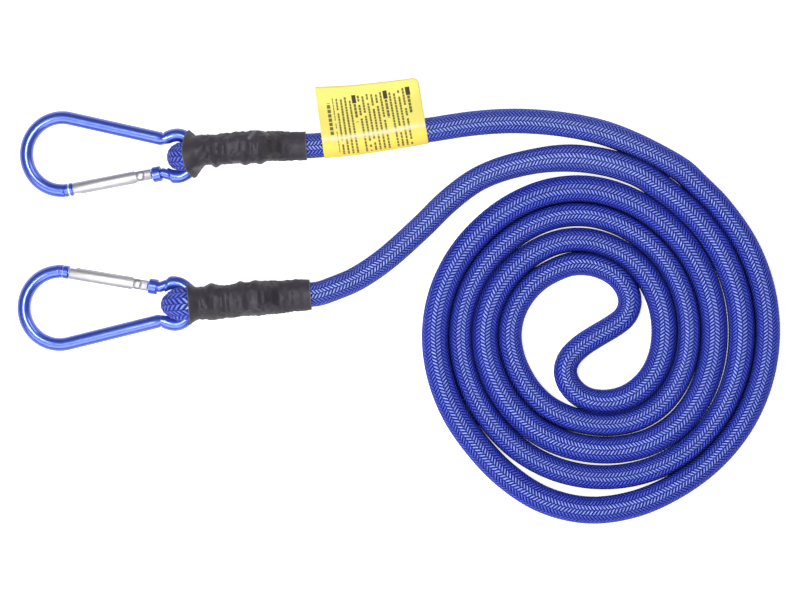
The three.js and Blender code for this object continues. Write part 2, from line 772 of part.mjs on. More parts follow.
// The sleeve's end in the part's frame: the place at a distance along the sleeve's axis.
function alongSleeve(end, x) {
  const turn = THREE.MathUtils.degToRad(end.sleeveTurn);
  const at = new THREE.Vector3(x, end.drift, 0).applyAxisAngle(flatUp, turn);
  return at.add(new THREE.Vector3(end.barX, end.barY, exitHeight));
}

function leadCurve(end, route, coilTurn, second) {
  const points = [
    alongSleeve(end, end.sleeveLength - joinInside + pieceGap),
    alongSleeve(end, end.sleeveLength),
    alongSleeve(end, end.sleeveLength + joinInside),
    ...route.map(([x, y], i) => new THREE.Vector3(x, y, i < end.levelPoints ? exitHeight : leadHeight)),
    stubEnd(coilTurn, second, coil.stub + coil.leadJoin),
    stubEnd(coilTurn, second, coil.stub + pieceGap),
  ];
  return new THREE.CatmullRomCurve3(points, false, 'centripetal');
}

function leadGeometry(curve, outerRadius, holeRadius) {
  const shape = new THREE.Shape();
  ovalSection(leadSides, outerRadius, outerRadius)
    .forEach(([x, y], i) => (i === 0 ? shape.moveTo(x, y) : shape.lineTo(x, y)));
  shape.closePath();
  if (holeRadius) {
    const hole = new THREE.Path();
    ovalSection(leadSides, holeRadius, holeRadius).reverse()
      .forEach(([x, y], i) => (i === 0 ? hole.moveTo(x, y) : hole.lineTo(x, y)));
    hole.closePath();
    shape.holes.push(hole);
  }
  return new THREE.ExtrudeGeometry(shape, {
    steps: Math.round(curve.getLength() / leadStepLength), bevelEnabled: false, extrudePath: curve,
  });
}

// Tag: film round the cord, its two leaves meeting in a flag that points to +Y. The
// section lies along the flag, which leaves the cord's side and slopes to the table.
function tagGeometry(curve) {
  const length = curve.getLength();
  const wrapStep = THREE.MathUtils.degToRad(tag.wrapTurn);
  const snug = (cordRadius + pieceGap) / Math.cos(wrapStep / 2);
  const wrapAngles = [];
  for (let i = 0; i < tag.wrapSteps; i += 1) {
    wrapAngles.push(Math.PI + wrapStep * (i - (tag.wrapSteps - 1) / 2));
  }
  const round = (radius) => wrapAngles.map((angle) => (
    [radius * Math.cos(angle), radius * Math.sin(angle)]));
  const meet = snug / Math.cos(wrapAngles[0]);
  const leaf = tag.film;
  const outer = [
    [tag.reach, leaf / 2], [meet + leaf, leaf], ...round(snug + leaf),
    [meet + leaf, -leaf], [tag.reach, -leaf / 2],
  ];
  const inner = [
    [meet - leaf, leaf * apexShare], [meet - 2 * leaf, leaf], ...round(snug),
    [meet - 2 * leaf, -leaf], [meet - leaf, -leaf * apexShare],
  ];
  const slope = Math.asin(tag.tipDrop / tag.reach);
  const turned = ([u, v]) => [
    -(u * Math.cos(slope) + v * Math.sin(slope)), v * Math.cos(slope) - u * Math.sin(slope)];
  const rings = { outer: [], inner: [] };
  for (let i = 0; i <= tag.steps; i += 1) {
    const share = (tag.start + (tag.width * i) / tag.steps) / length;
    const at = curve.getPointAt(share);
    const tangent = curve.getTangentAt(share).negate();
    rings.outer.push(ringPoints(at, tangent, flatUp, outer.map(turned)));
    rings.inner.push(ringPoints(at, tangent, flatUp, inner.map(turned)));
  }
  return bodyFromRings(rings.outer, rings.inner);
}

// Assembly.

const bungee = new THREE.Group();

for (const end of [endA, endB]) {
  const earSide = end.flipped ? 1 : -1;
  const hook = new THREE.Group();
  hook.position.set(end.barX, end.barY, barHeight);
  hook.rotation.order = 'ZYX';
  hook.rotation.z = THREE.MathUtils.degToRad(end.hookTurn);
  hook.rotation.y = -hookTilt;
  const flat = new THREE.Group();
  flat.rotation.x = end.flipped ? Math.PI : 0;
  hook.add(flat);
  flat.add(mesh(`hook_frame_${end.name}`, hookFrameGeometry(), blueAnodised));
  const gateGroup = new THREE.Group();
  gateGroup.position.set(-gate.pivotDistance, -pivotHeight, 0);
  gateGroup.rotation.z = sideSlope;
  gateGroup.add(mesh(`gate_${end.name}`, gateGeometry(), satinSteel));
  gateGroup.add(mesh(`gate_rivet_${end.name}`, rivetGeometry(), satinSteel));
  gateGroup.add(mesh(`gate_pusher_${end.name}`, pusherGeometry(), brightSteel));
  gateGroup.add(mesh(`gate_spring_${end.name}`, springGeometry(), brightSteel));
  flat.add(gateGroup);
  bungee.add(hook);

  const sleeveGroup = new THREE.Group();
  sleeveGroup.position.copy(alongSleeve(end, 0)).setZ(0);
  sleeveGroup.rotation.z = THREE.MathUtils.degToRad(end.sleeveTurn);
  const sheath = cordEndGeometry(end, cordRadius, sheathBore);
  sleeveGroup.add(mesh(`cord_end_sheath_${end.name}`, sheath, blueBraid));
  sleeveGroup.add(mesh(`cord_end_core_${end.name}`, cordEndGeometry(end, coreRadius, 0), latex));
  ringPlaces.forEach((place, i) => {
    const made = mesh(`clamp_ring_${end.name}${i + 1}`, ringGeometry(earSide, place), brightSteel);
    made.position.set(place, 0, midAt(place));
    sleeveGroup.add(made);
  });
  sleeveGroup.add(mesh(`shrink_sleeve_${end.name}`, sleeveGeometry(end, earSide), blackRubber));
  bungee.add(sleeveGroup);
}

const coilPath = coilRoute();
const measured = leastGap(coilPath);
bungee.add(mesh('coil_sheath',
  sweepAlong(coilPath, coilSection(cordRadius), flatUp, coilSection(sheathBore)), blueBraid));
bungee.add(mesh('coil_core', sweepAlong(coilPath, coilSection(coreRadius), flatUp), latex));

const curveA = leadCurve(endA, leadRouteA, coil.firstEndTurn, false);
const curveB = leadCurve(endB, leadRouteB, coil.secondEndTurn, true);
bungee.add(mesh('lead_sheath_a', leadGeometry(curveA, cordRadius, sheathBore), blueBraid));
bungee.add(mesh('lead_core_a', leadGeometry(curveA, coreRadius, 0), latex));
bungee.add(mesh('lead_sheath_b', leadGeometry(curveB, cordRadius, sheathBore), blueBraid));
bungee.add(mesh('lead_core_b', leadGeometry(curveB, coreRadius, 0), latex));
bungee.add(mesh('tag', tagGeometry(curveA), yellowFilm));

console.log(`least gap of the coil to itself ${measured.gap.toFixed(2)} mm`);
console.log(`coil ${measured.length.toFixed(0)} mm, leads ${curveA.getLength().toFixed(0)} mm and `
  + `${curveB.getLength().toFixed(0)} mm`);

export default bungee;
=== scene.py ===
"""A bungee cord with a snap hook at each end, wound in a flat coil on a pale table."""
import math

import bmesh
import bpy
from mathutils import Matrix, Vector, noise
from mathutils.kdtree import KDTree


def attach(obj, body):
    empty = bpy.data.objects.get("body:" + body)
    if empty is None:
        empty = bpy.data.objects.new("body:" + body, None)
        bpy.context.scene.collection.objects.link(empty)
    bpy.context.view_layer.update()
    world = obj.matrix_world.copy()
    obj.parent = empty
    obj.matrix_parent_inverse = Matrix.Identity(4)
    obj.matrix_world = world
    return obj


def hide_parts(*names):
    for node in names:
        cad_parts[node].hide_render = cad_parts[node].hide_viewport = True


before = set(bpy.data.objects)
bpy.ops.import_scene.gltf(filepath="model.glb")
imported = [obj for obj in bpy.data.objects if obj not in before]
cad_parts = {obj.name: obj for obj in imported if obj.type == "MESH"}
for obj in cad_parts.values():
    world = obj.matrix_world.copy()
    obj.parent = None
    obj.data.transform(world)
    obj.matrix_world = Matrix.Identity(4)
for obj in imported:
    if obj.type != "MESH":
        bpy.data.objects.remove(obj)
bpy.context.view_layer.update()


# Camera. A long lens stands straight above the table, so the coil and the hooks show in
# plan. The picture is 320 mm wide at the cord's middle height.
view_centre = Vector((0.0942, -0.0274, 0.005))
view_width = 0.320
sensor_width = 36
lens_length = 300


def new_object(name, data):
    """An object of the scene with this camera, light, curve or mesh."""
    made = bpy.data.objects.new(name, data)
    bpy.context.collection.objects.link(made)
    return made


camera_data = bpy.data.cameras.new("camera")
camera_data.sensor_width = sensor_width
camera_data.lens = lens_length
camera = new_object("camera", camera_data)
camera.location = view_centre + Vector((0, 0, view_width / sensor_width * lens_length))
bpy.context.scene.camera = camera


# Table and light. A white table stands under three softboxes in a pale room. It glows a
# little where the camera sees it, so it stays white and keeps a faint shadow.
def maths(operation, reflected=False):
    """An operator that adds a Math node."""
    def operator(wire, *values):
        order = (*values, wire) if reflected else (wire, *values)
        return wire.graph.node("ShaderNodeMath", {"operation": operation}, order)
    return operator


class Wire:
    """A node's socket, whose sums can be written as a Python expression."""

    def __init__(self, graph, socket):
        self.graph = graph
        self.socket = socket

    def other(self, name):
        return Wire(self.graph, self.socket.node.outputs[name])

    __add__, __radd__ = maths("ADD"), maths("ADD", reflected=True)
    __sub__, __rsub__ = maths("SUBTRACT"), maths("SUBTRACT", reflected=True)
    __mul__, __rmul__ = maths("MULTIPLY"), maths("MULTIPLY", reflected=True)
    __truediv__, __mod__, __pow__ = maths("DIVIDE"), maths("FLOORED_MODULO"), maths("POWER")
    __lt__, __gt__ = maths("LESS_THAN"), maths("GREATER_THAN")
    __abs__, floor, fraction = maths("ABSOLUTE"), maths("FLOOR"), maths("FRACT")
    at_least, at_most, ping_pong = maths("MAXIMUM"), maths("MINIMUM"), maths("PINGPONG")
    cosine, sine = maths("COSINE"), maths("SINE")


class Graph:
    """A node tree that is filled node by node."""

    def __init__(self, tree):
        self.tree = tree
        tree.nodes.clear()

    def node(self, kind, settings=None, values=()):
        made = self.tree.nodes.new(kind)
        for name, value in (settings or {}).items():
            setattr(made, name, value)
        pairs = values.items() if isinstance(values, dict) else enumerate(values)
        for key, value in pairs:
            if isinstance(value, Wire):
                self.tree.links.new(value.socket, made.inputs[key])
            else:
                made.inputs[key].default_value = value
        return Wire(self, made.outputs[0] if len(made.outputs) else None)

    def mixed(self, share, first, second):
        """A colour between two others. The colour sockets are the node's 6, 7 and 2."""
        made = self.node("ShaderNodeMix", {"data_type": "RGBA"}, {0: share, 6: first, 7: second})
        return made.other(2)


def start_material(name):
    material = bpy.data.materials.new(name)
    material.use_nodes = True
    return material, Graph(material.node_tree)


full_white = (1, 1, 1, 1)
table_white = (0.9, 0.9, 0.9, 1)
table_glow = 0.72
table_half = 3.0
table_middle = 0.09
# The table's top lies a hair under the cord, so no two faces lie in one plane.
table_top = -0.0001
table_material, graph = start_material("white_table")
path = graph.node("ShaderNodeLightPath")
seen = path.other("Is Camera Ray").at_least(path.other("Is Transmission Ray"))
matt = graph.node("ShaderNodeBsdfDiffuse", None, {"Color": table_white})
glow = graph.node(
    "ShaderNodeEmission", None, {"Color": full_white, "Strength": seen * table_glow})
both = graph.node("ShaderNodeAddShader", None, (matt, glow))
graph.node("ShaderNodeOutputMaterial", None, (both,))

table_mesh = bpy.data.meshes.new("table")
corners = [
    (x * table_half + table_middle, y * table_half, table_top)
    for x, y in ((-1, -1), (1, -1), (1, 1), (-1, 1))]
table_mesh.from_pydata(corners, [], [(0, 1, 2, 3)])
table_mesh.materials.append(table_material)
table = new_object("table", table_mesh)

room_light = 0.14
world = bpy.data.worlds.new("room")
world.use_nodes = True
graph = Graph(world.node_tree)
room = graph.node("ShaderNodeBackground", None, {"Color": full_white, "Strength": room_light})
graph.node("ShaderNodeOutputWorld", None, (room,))
bpy.context.scene.world = world

light_aim = Vector((0.09, -0.03, 0))


def softbox(name, place, size, power):
    light = bpy.data.lights.new(name, "AREA")
    light.shape = "RECTANGLE"
    light.size, light.size_y = size
    light.energy = power
    lamp = new_object(name, light)
    lamp.location = place
    lamp.rotation_euler = (light_aim - Vector(place)).to_track_quat("-Z", "Y").to_euler()


softbox("softbox_above", (-0.22, -0.02, 1.38), (0.8, 0.45), 13.5)
softbox("softbox_near", (-0.35, -0.92, 0.80), (1.8, 0.8), 10)
softbox("softbox_far", (0.85, 0.80, 0.9), (0.9, 0.6), 5)

bpy.context.scene.view_settings.view_transform = "Standard"


# Cord. The rubber core is covered by a braid of blue yarn in 16 columns, each bundle over
# two and under two. One length runs from sleeve A through the coil and its S to sleeve B.
# The numbers are millimetres, as in all sections below.
MM = 0.001
cord_diameter = 10.0
braid_columns = 16
braid_row = 1.42
braid_height = 0.36
braid_ground = 4.85
# How high the braid stands between two columns, as a share of its height.
braid_seam = 0.55
lead_height = 5.3
sleeve_height = 6.05

coil_centre = Vector((169.4, -40.9))
coil_radius = 72.1
strand_pitch = 10.38
coil_oval = 1.4
coil_oval_turn = math.radians(-59)
slack, slack_turn, slack_span = 2.5, -97, 42
# How far each strand is drawn in by its lead, from which degree on and over how many.
drawn_in, drawn_from, drawn_span = (1.2, 0.4), 5, 50
# The turns were laid by hand: how far each strand lies outside its spiral at every eighth
# of a turn, from its outer end inwards.
laid_from, eighth_turn = 45, 45
laid_aside = (
    (0.7, 0.4, 0.0, 0.6, -0.2, 0.0, -1.2, 0.6, -0.1, -0.2,
     1.0, -0.8, 0.0, 0.9, -0.4, 0.9, 1.1, 0.6, 1.2),
    (0.6, 0.5, 0.9, -0.1, -0.2, 0.3, -0.9, 0.8, 0.4, 0.1, 0.8, -0.9, 0.5, 1.4, 0.3),
)
# The degrees at which points of the two strands are taken, and the distances at which
# each runs on straight from its outer end.
first_turns = [50, *range(45, -781, -15)]
second_turns = [*range(-600, 75, 15)]
stub_places = (5.25, 12.5)
middle_of_coil = [
    (175.9, -68.2), (167.8, -66.5), (162.2, -61.6), (160.3, -55.9), (161.8, -50.8),
    (166.3, -46.1), (172.6, -41.9), (179.2, -38.0), (184.2, -34.0), (186.2, -28.6),
    (184.7, -22.4), (179.8, -16.9), (172.0, -13.4), (163.1, -13.0),
]
lead_a = [
    (74.2, 35.6), (90.2, 37.9), (106.2, 40.6), (124.2, 43.3), (140.5, 44.2), (158.2, 43.0),
    (174.2, 39.9), (185.3, 35.9), (196.0, 30.8),
]
lead_b = [
    (68.2, -22.6), (76.2, -19.2), (87.7, -11.6), (103.0, 2.0), (113.2, 12.0), (124.2, 20.3),
    (133.8, 24.6), (143.8, 27.3), (154.2, 29.0), (164.2, 29.3), (173.6, 28.2), (182.3, 26.1),
]
line_spacing = 2.5

# The sleeves' axes, which the leads leave along: a point of the hook's eye bar, the turn
# about Z, how far the axis lies aside of that point, and the sleeve's length.
eye_bar = {"a": Vector((13.6, 30.0)), "b": Vector((12.6, -28.5))}
sleeve_turn = {"a": math.radians(2.6), "b": math.radians(4.5)}
sleeve_aside = {"a": 2.2, "b": -0.3}
sleeve_length = {"a": 43.3, "b": 46.0}
# How far the cord starts inside the sleeve and runs on straight outside it, and how many
# points of its route are still at the sleeve's height.
inside_sleeve, straight_out = 2.7, 3
level_points = {"a": 3, "b": 1}


def on_sleeve(end, x, y=0.0, z=0.0):
    """A point in the frame of a sleeve, where x runs from the eye bar to the coil."""
    bar, turn = eye_bar[end], sleeve_turn[end]
    c, s = math.cos(turn), math.sin(turn)
    y += sleeve_aside[end]
    return Vector((bar.x + x * c - y * s, bar.y + x * s + y * c, z))


def ease(share):
    t = min(max(share, 0.0), 1.0)
    return t * t * (3 - 2 * t)


def lying(spot):
    """The cord's middle where it lies over a spot of the table."""
    return Vector((*spot, lead_height))


def strand_point(turn, second=False):
    angle = math.radians(turn)
    radius = coil_radius + 2 * strand_pitch * turn / 360
    radius += -strand_pitch if second else slack * (1 - ease(abs(turn - slack_turn) / slack_span))
    radius += coil_oval * math.cos(2 * (angle - coil_oval_turn))
    radius -= drawn_in[second] * ease((turn - drawn_from) / drawn_span)
    laid = laid_aside[second]
    eighth = min(max((laid_from - turn) / eighth_turn, 0), len(laid) - 1.001)
    past = int(eighth)
    radius += laid[past] + (laid[past + 1] - laid[past]) * ease(eighth - past)
    return lying((
        coil_centre.x + radius * math.cos(angle), coil_centre.y + radius * math.sin(angle)))


def stub_points(turn, second):
    """Points straight on from a strand's outer end, towards its lead."""
    at = strand_point(turn, second)
    onward = (at - strand_point(turn - 1, second)).normalized()
    return [at + onward * length for length in stub_places]


def smooth_line(points, spacing):
    """Points at an even spacing on a centripetal Catmull-Rom curve through the given ones."""
    cuts = 4
    ends = [2 * points[0] - points[1]] + list(points) + [2 * points[-1] - points[-2]]
    fine = []
    for p0, p1, p2, p3 in zip(ends, ends[1:], ends[2:], ends[3:]):
        t1 = math.sqrt((p1 - p0).length)
        t2 = t1 + math.sqrt((p2 - p1).length)
        t3 = t2 + math.sqrt((p3 - p2).length)
        count = max(cuts, int((p2 - p1).length / spacing * cuts))
        for k in range(count):
            t = t1 + (t2 - t1) * k / count
            a1 = p0 * ((t1 - t) / t1) + p1 * (t / t1)
            a2 = p1 * ((t2 - t) / (t2 - t1)) + p2 * ((t - t1) / (t2 - t1))
            a3 = p2 * ((t3 - t) / (t3 - t2)) + p3 * ((t - t2) / (t3 - t2))
            b1 = a1 * ((t2 - t) / t2) + a2 * (t / t2)
            b2 = a2 * ((t3 - t) / (t3 - t1)) + a3 * ((t - t1) / (t3 - t1))
            fine.append(b1 * ((t2 - t) / (t2 - t1)) + b2 * ((t - t1) / (t2 - t1)))
    fine.append(points[-1])
    length = sum((b - a).length for a, b in zip(fine, fine[1:]))
    step = length / round(length / spacing)
    line, walked, due = [fine[0]], 0.0, step
    for a, b in zip(fine, fine[1:]):
        part = (b - a).length
        while part and walked + part >= due - 1e-9:
            line.append(a.lerp(b, (due - walked) / part))
            due += step
        walked += part
    return line, length


def lead_points(end, route):
    start = [
        on_sleeve(end, sleeve_length[end] + x, 0, sleeve_height)
        for x in (-inside_sleeve, 0, straight_out)]
    return start + [
        Vector((x, y, sleeve_height if i < level_points[end] else lead_height))
        for i, (x, y) in enumerate(route)]


cord_points = (
    lead_points("a", lead_a)
    + stub_points(first_turns[0], False)[::-1]
    + [strand_point(turn) for turn in first_turns]
    + [lying(spot) for spot in middle_of_coil]
    + [strand_point(turn, True) for turn in second_turns]
    + stub_points(second_turns[-1], True)
    + lead_points("b", lead_b)[::-1])
cord_line, cord_length = smooth_line(cord_points, line_spacing)

near_points = KDTree(len(cord_line))
for i, point in enumerate(cord_line):
    near_points.insert(point, i)
near_points.balance()

# The cord's girth at places along it, as shares of the full one: a little slim in the
# leads and where it is stretched through the S, full in the turns that press on each other.
lead_share = 0.975
girth = [
    (strand_point(-40), lead_share), (strand_point(-85), 1.075), (strand_point(-560), 1.075),
    (strand_point(-610), 0.95), (strand_point(-650), 0.97), (strand_point(-690), 1.03),
    (strand_point(-765), 1.03), (lying(middle_of_coil[2]), 0.92),
    (strand_point(-590, True), 0.93), (strand_point(-500, True), 0.95),
    (strand_point(-40, True), 0.95), (strand_point(5, True), 1.07),
    (lying(lead_b[9]), 1.09), (lying(lead_b[7]), 0.99), (lying(lead_b[5]), 0.965),
]
girth_at = [(near_points.find(point)[1], share) for point, share in girth]


def cord_swell(i):
    """The share of the full girth at a point of the cord's line."""
    if i <= girth_at[0][0]:
        return girth_at[0][1]
    for (before, share), (after, next_share) in zip(girth_at, girth_at[1:]):
        if i <= after:
            return share + (next_share - share) * ease((i - before) / (after - before))
    return girth_at[-1][1]


def vector_sum(graph, operation, *values):
    return graph.node("ShaderNodeVectorMath", {"operation": operation}, values)


def braid_tree():
    """Geometry nodes that lay a braid along a curve, from its radius, row and upright."""
    closing_distance = 2e-7
    tree = bpy.data.node_groups.new("braided_sheath", "GeometryNodeTree")
    for name, kind, value in (
            ("Geometry", "Geometry", None), ("Ground radius", "Float", braid_ground * MM),
            ("Yarn height", "Float", braid_height * MM), ("Row", "Float", braid_row * MM),
            ("Columns", "Int", braid_columns), ("Upright", "Vector", (0, 0, 1)),
            ("Material", "Material", None)):
        socket = tree.interface.new_socket(name, in_out="INPUT", socket_type=f"NodeSocket{kind}")
        if value is not None:
            socket.default_value = value
    tree.interface.new_socket("Geometry", in_out="OUTPUT", socket_type="NodeSocketGeometry")
    graph = Graph(tree)
    given = graph.node("NodeGroupInput")
    ground, height, row, columns, upright = (
        given.other(name) for name in ("Ground radius", "Yarn height", "Row", "Columns", "Upright"))
    length = graph.node("GeometryNodeCurveLength", None, (given,))
    # Two rings a row, and one more at each end that closes it. Two points a column.
    rings = (length / row * 2 + 0.5).floor() + 3
    grid = graph.node("GeometryNodeMeshGrid", None, {
        "Size X": 1.0, "Size Y": 1.0, "Vertices X": rings, "Vertices Y": columns * 2 + 1})
    place = graph.node("ShaderNodeSeparateXYZ", None, (graph.node("GeometryNodeInputPosition"),))
    ring = ((place + 0.5) * (rings - 1) + 0.5).floor() - 1
    spoke = ((place.other("Y") + 0.5) * (columns * 2) + 0.5).floor()
    column = (spoke / 2).floor()
    # The rings zigzag with the yarn's lean, one row to a column.
    lean = (spoke % 4).ping_pong(2) * 0.5
    along = (ring + lean * 2) * row * 0.5
    stop = along.at_least(0.0).at_most(length)
    middle = spoke % 2
    crest = (ring + column) % 2
    raised = middle * crest + (1 - middle) * braid_seam
    end_ring = (ring < 0).at_least(ring > (rings - 3.5))
    sample = graph.node(
        "GeometryNodeSampleCurve", {"mode": "LENGTH", "data_type": "FLOAT"},
        {"Curves": given, "Length": stop, "Value": graph.node("GeometryNodeInputRadius")})
    radius = (ground * sample.other("Value") + height * raised) * (1 - end_ring)
    angle = spoke / columns * math.pi
    tangent = sample.other("Tangent")
    across = vector_sum(graph, "CROSS_PRODUCT", upright, tangent)
    across = vector_sum(graph, "NORMALIZE", across)
    over = vector_sum(graph, "CROSS_PRODUCT", tangent, across)
    reach = [
        graph.node(
            "ShaderNodeVectorMath", {"operation": "SCALE"}, {0: direction, "Scale": radius * share})
        for direction, share in ((across, angle.cosine()), (over, angle.sine()))]
    offset = vector_sum(graph, "ADD", *reach)
    spot = vector_sum(graph, "ADD", sample.other("Position"), offset)
    weave = graph.node("ShaderNodeCombineXYZ", None, (stop / row, spoke / 2))
    marked = graph.node(
        "GeometryNodeStoreNamedAttribute", {"data_type": "FLOAT2", "domain": "CORNER"},
        {"Geometry": grid, "Name": "UVMap", "Value": weave})
    moved = graph.node("GeometryNodeSetPosition", None, {"Geometry": marked, "Position": spot})
    closed = graph.node(
        "GeometryNodeMergeByDistance", None, {"Geometry": moved, "Distance": closing_distance})
    soft = graph.node("GeometryNodeSetShadeSmooth", None, {"Geometry": closed})
    real = graph.node("GeometryNodeRealizeInstances", None, (soft,))
    dressed = graph.node(
        "GeometryNodeSetMaterial", None, {"Geometry": real, "Material": given.other("Material")})
    graph.node("NodeGroupOutput", None, (dressed,))
    return tree


def plain_mesh(source):
    """The mesh of an object as its modifiers leave it."""
    depsgraph = bpy.context.evaluated_depsgraph_get()
    return bpy.data.meshes.new_from_object(source.evaluated_get(depsgraph), depsgraph=depsgraph)


def braided(name, line, shares, upright=Vector((0, 0, 1))):
    """A braided sheath along a line of points, with its share of the full girth at each."""
    curve = bpy.data.curves.new(f"{name}_line", "CURVE")
    curve.dimensions = "3D"
    spline = curve.splines.new("POLY")
    spline.points.add(len(line) - 1)
    for spot, point, share in zip(spline.points, line, shares):
        spot.co = (*(point * MM), 1)
        spot.radius = share
    carrier = new_object(f"{name}_line", curve)
    modifier = carrier.modifiers.new("braid", "NODES")
    modifier.node_group = braid_nodes
    values = {"Material": braid, "Upright": upright}
    for item in braid_nodes.interface.items_tree:
        if item.in_out == "INPUT" and item.name in values:
            modifier[item.identifier] = values[item.name]
    mesh = plain_mesh(carrier)
    mesh.name = name
    carrier.modifiers.remove(modifier)
    bpy.data.objects.remove(carrier)
    return new_object(name, mesh)


def uv_parts(graph):
    uv = graph.node("ShaderNodeUVMap", {"uv_map": "UVMap"})
    parts = graph.node("ShaderNodeSeparateXYZ", None, (uv,))
    return parts, parts.other("Y")


def mottled(graph, place, scale, detail):
    """Soft noise from 0 to 1."""
    return graph.node(
        "ShaderNodeTexNoise", {"noise_dimensions": "3D"},
        {"Vector": place, "Scale": scale, "Detail": detail})


def stored(graph, name):
    """The number that mark() has put on the piece."""
    return graph.node("ShaderNodeAttribute", {"attribute_name": name}).other("Fac")


def bumped(graph, strength, depth, height):
    return graph.node(
        "ShaderNodeBump", None, {"Strength": strength, "Distance": depth, "Height": height})


def finish_material(graph, values):
    shader = graph.node("ShaderNodeBsdfPrincipled", None, values)
    graph.node("ShaderNodeOutputMaterial", None, (shader,))


# Yarn colours, from the painted shade between bundles to a bundle's crown. The crown's colour also
# serves as the painted highlight.
yarn_deep = (0.001, 0.001, 0.08, 1)
yarn_blue = (0.05, 0.082, 0.86, 1)
yarn_crown_highlight = (0.46, 0.58, 1.0, 1)
yarn_sheen = (0.2, 0.32, 1.0, 1)
# How far up the yarn has to face to get a painted highlight.
top_highlight_from = 0.83
# How much each bundle's chance, its fibres, the painted highlight on the cord's top and the painted
# highlight at its ends show on its crown, and how much painted shade darkens the yarn in the groove
# between two strands.
by_chance, by_fibre, by_top_highlight, by_end_highlight, by_groove_shade = 0.1, 0.2, 0.7, 0.16, 0.6


def braid_material():
    material, graph = start_material("blue_braid")
    rows, turn = uv_parts(graph)
    column = turn.floor()
    across = turn.fraction()
    odd = column % 2
    lean = across + odd * (1 - 2 * across)
    thread = rows - lean + 0.5 * odd
    number = thread.floor()
    height = thread.fraction()
    edge = abs(height * 2 - 1)
    flank = 1 - 0.65 * abs(across * 2 - 1) ** 6
    body = (1 - edge ** 2) * flank
    ridge = (1 - edge ** 1.5) * flank
    cell = graph.node("ShaderNodeCombineXYZ", None, (number, column, 0.0))
    chance = graph.node("ShaderNodeTexWhiteNoise", {"noise_dimensions": "3D"}, {"Vector": cell})
    fibre_place = graph.node(
        "ShaderNodeCombineXYZ", None, (height * 9, lean * 0.6, column + number * 3))
    fibre = mottled(graph, fibre_place, 1.0, 1.0)
    normal = graph.node("ShaderNodeNewGeometry").other("Normal")
    upward = graph.node("ShaderNodeSeparateXYZ", None, (normal,)).other("Z")
    top_highlight = graph.node("ShaderNodeMapRange", None, (upward, top_highlight_from, 1.0, 0.0, 1.0))
    # A bundle's crown is paler by chance and by its fibres, and gets a painted highlight where it
    # faces up and near the cord's ends.
    lit = ridge ** 3 * (by_chance * chance + by_fibre * fibre + by_top_highlight * top_highlight)
    lit = lit + by_end_highlight * stored(graph, "paler_share") * ridge
    colour = graph.mixed(body, yarn_deep, yarn_blue)
    colour = graph.mixed(lit, colour, yarn_crown_highlight)
    # Painted shade in the groove between two strands.
    colour = graph.mixed(by_groove_shade * stored(graph, "groove_shade"), colour, yarn_deep)
    finish_material(graph, {
        "Base Color": colour, "Metallic": 0.2, "Roughness": 0.46 - 0.16 * body,
        "Specular IOR Level": 0.6, "Specular Tint": yarn_sheen,
        "Normal": bumped(graph, 1.0, 0.0005, body + fibre * body * 0.25)})
    return material


def mark(piece, name, value_at):
    """Stores a number at each point of a piece, worked out from its place in millimetres."""
    layer = piece.data.attributes.new(name, "FLOAT", "POINT")
    for vertex in piece.data.vertices:
        layer.data[vertex.index].value = value_at(vertex.co / MM)


# How near another strand has to come to paint shade on the yarn, over what span this painted shade
# sets in, and how many points along the line still belong to the same strand.
groove_shade_reach, groove_shade_span, same_strand = 7.8, 2.2, 8
# How many points of the line get a painted highlight at each end, and over how many it fades.
end_highlight_points, end_highlight_fade = 50, 20


def groove_shade_at(point):
    """How deep a point lies in the groove between two strands, from 0 to 1: the share of painted
    shade there.
    """
    found = near_points.find_range(point, groove_shade_reach)
    own = min(found, key=lambda each: each[2])[1]
    other = min(
        (gap for _, i, gap in found if abs(i - own) > same_strand), default=groove_shade_reach)
    return ease((groove_shade_reach - other) / groove_shade_span)


def end_highlight_at(point):
    """The leads get a painted highlight on the yarn, full near both ends and fading out along the
    cord.
    """
    i = near_points.find(point)[1]
    from_end = min(i, len(cord_line) - 1 - i)
    return 1 - ease((from_end - end_highlight_points) / end_highlight_fade)


braid = braid_material()
braid_nodes = braid_tree()
# The wider the cord, the higher its middle lies over the table.
shares = [cord_swell(i) for i in range(len(cord_line))]
laid_line = [
    point + Vector((0, 0, braid_ground * (share - lead_share)))
    for point, share in zip(cord_line, shares)]
cord = braided("cord", laid_line, shares)
mark(cord, "groove_shade", groove_shade_at)
mark(cord, "paler_share", end_highlight_at)
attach(cord, "cord_and_hooks")
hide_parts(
    "coil_sheath", "coil_core", "lead_sheath_a", "lead_core_a", "lead_sheath_b",
    "lead_core_b")


# Cord ends. At each end the cord goes down through the hook's eye and back under itself:
# a tail on top, the loop round the eye bar and the leg that leaves the sleeve. Wire
# rings squeeze both legs together.
eye_loop_radius = 7.95
bar_height = 13.9
leg_middle = 12.2
leg_spacing = 10.3
# How much further apart each leg is before the first ring.
leg_spread = 1.1
ring_places = [7.0, 18.5, 24.5]
ring_reach = 2.2
tail_length = 27.1
squeeze_share = 0.76
sleeve_grip = 0.1
loop_spacing = 1.5
# How far before the sleeve's end the leg is level with the lead, and where it stops.
level_before, stop_before = 8, 3
# The loop sits in the eye's middle and runs into the sleeve's within these distances.
drift_from, drift_span = -4.5, 7
# How wide each loop is pressed in its eye, how far it reaches from the bar, and over
# what distances the hook has pressed it.
loop_width = {"a": 11.2, "b": 12.8}
loop_reach = {"a": 12.3, "b": 13.8}
press_from, press_span, reach_span = 1.5, 4, 5


def leg_heights(x):
    """Heights of the tail and of the leg under it at a distance from the eye bar."""
    middle = bar_height + (leg_middle - bar_height) * min(x / ring_places[2], 1)
    closed = ease((x - ring_places[0]) / (ring_places[1] - ring_places[0]))
    half = leg_spacing / 2 + leg_spread * (1 - closed)
    return middle + half, middle - half


def drift_at(end, x):
    """How far the loop's middle lies from the sleeve's axis."""
    return -sleeve_aside[end] * (1 - ease((x - drift_from) / drift_span))


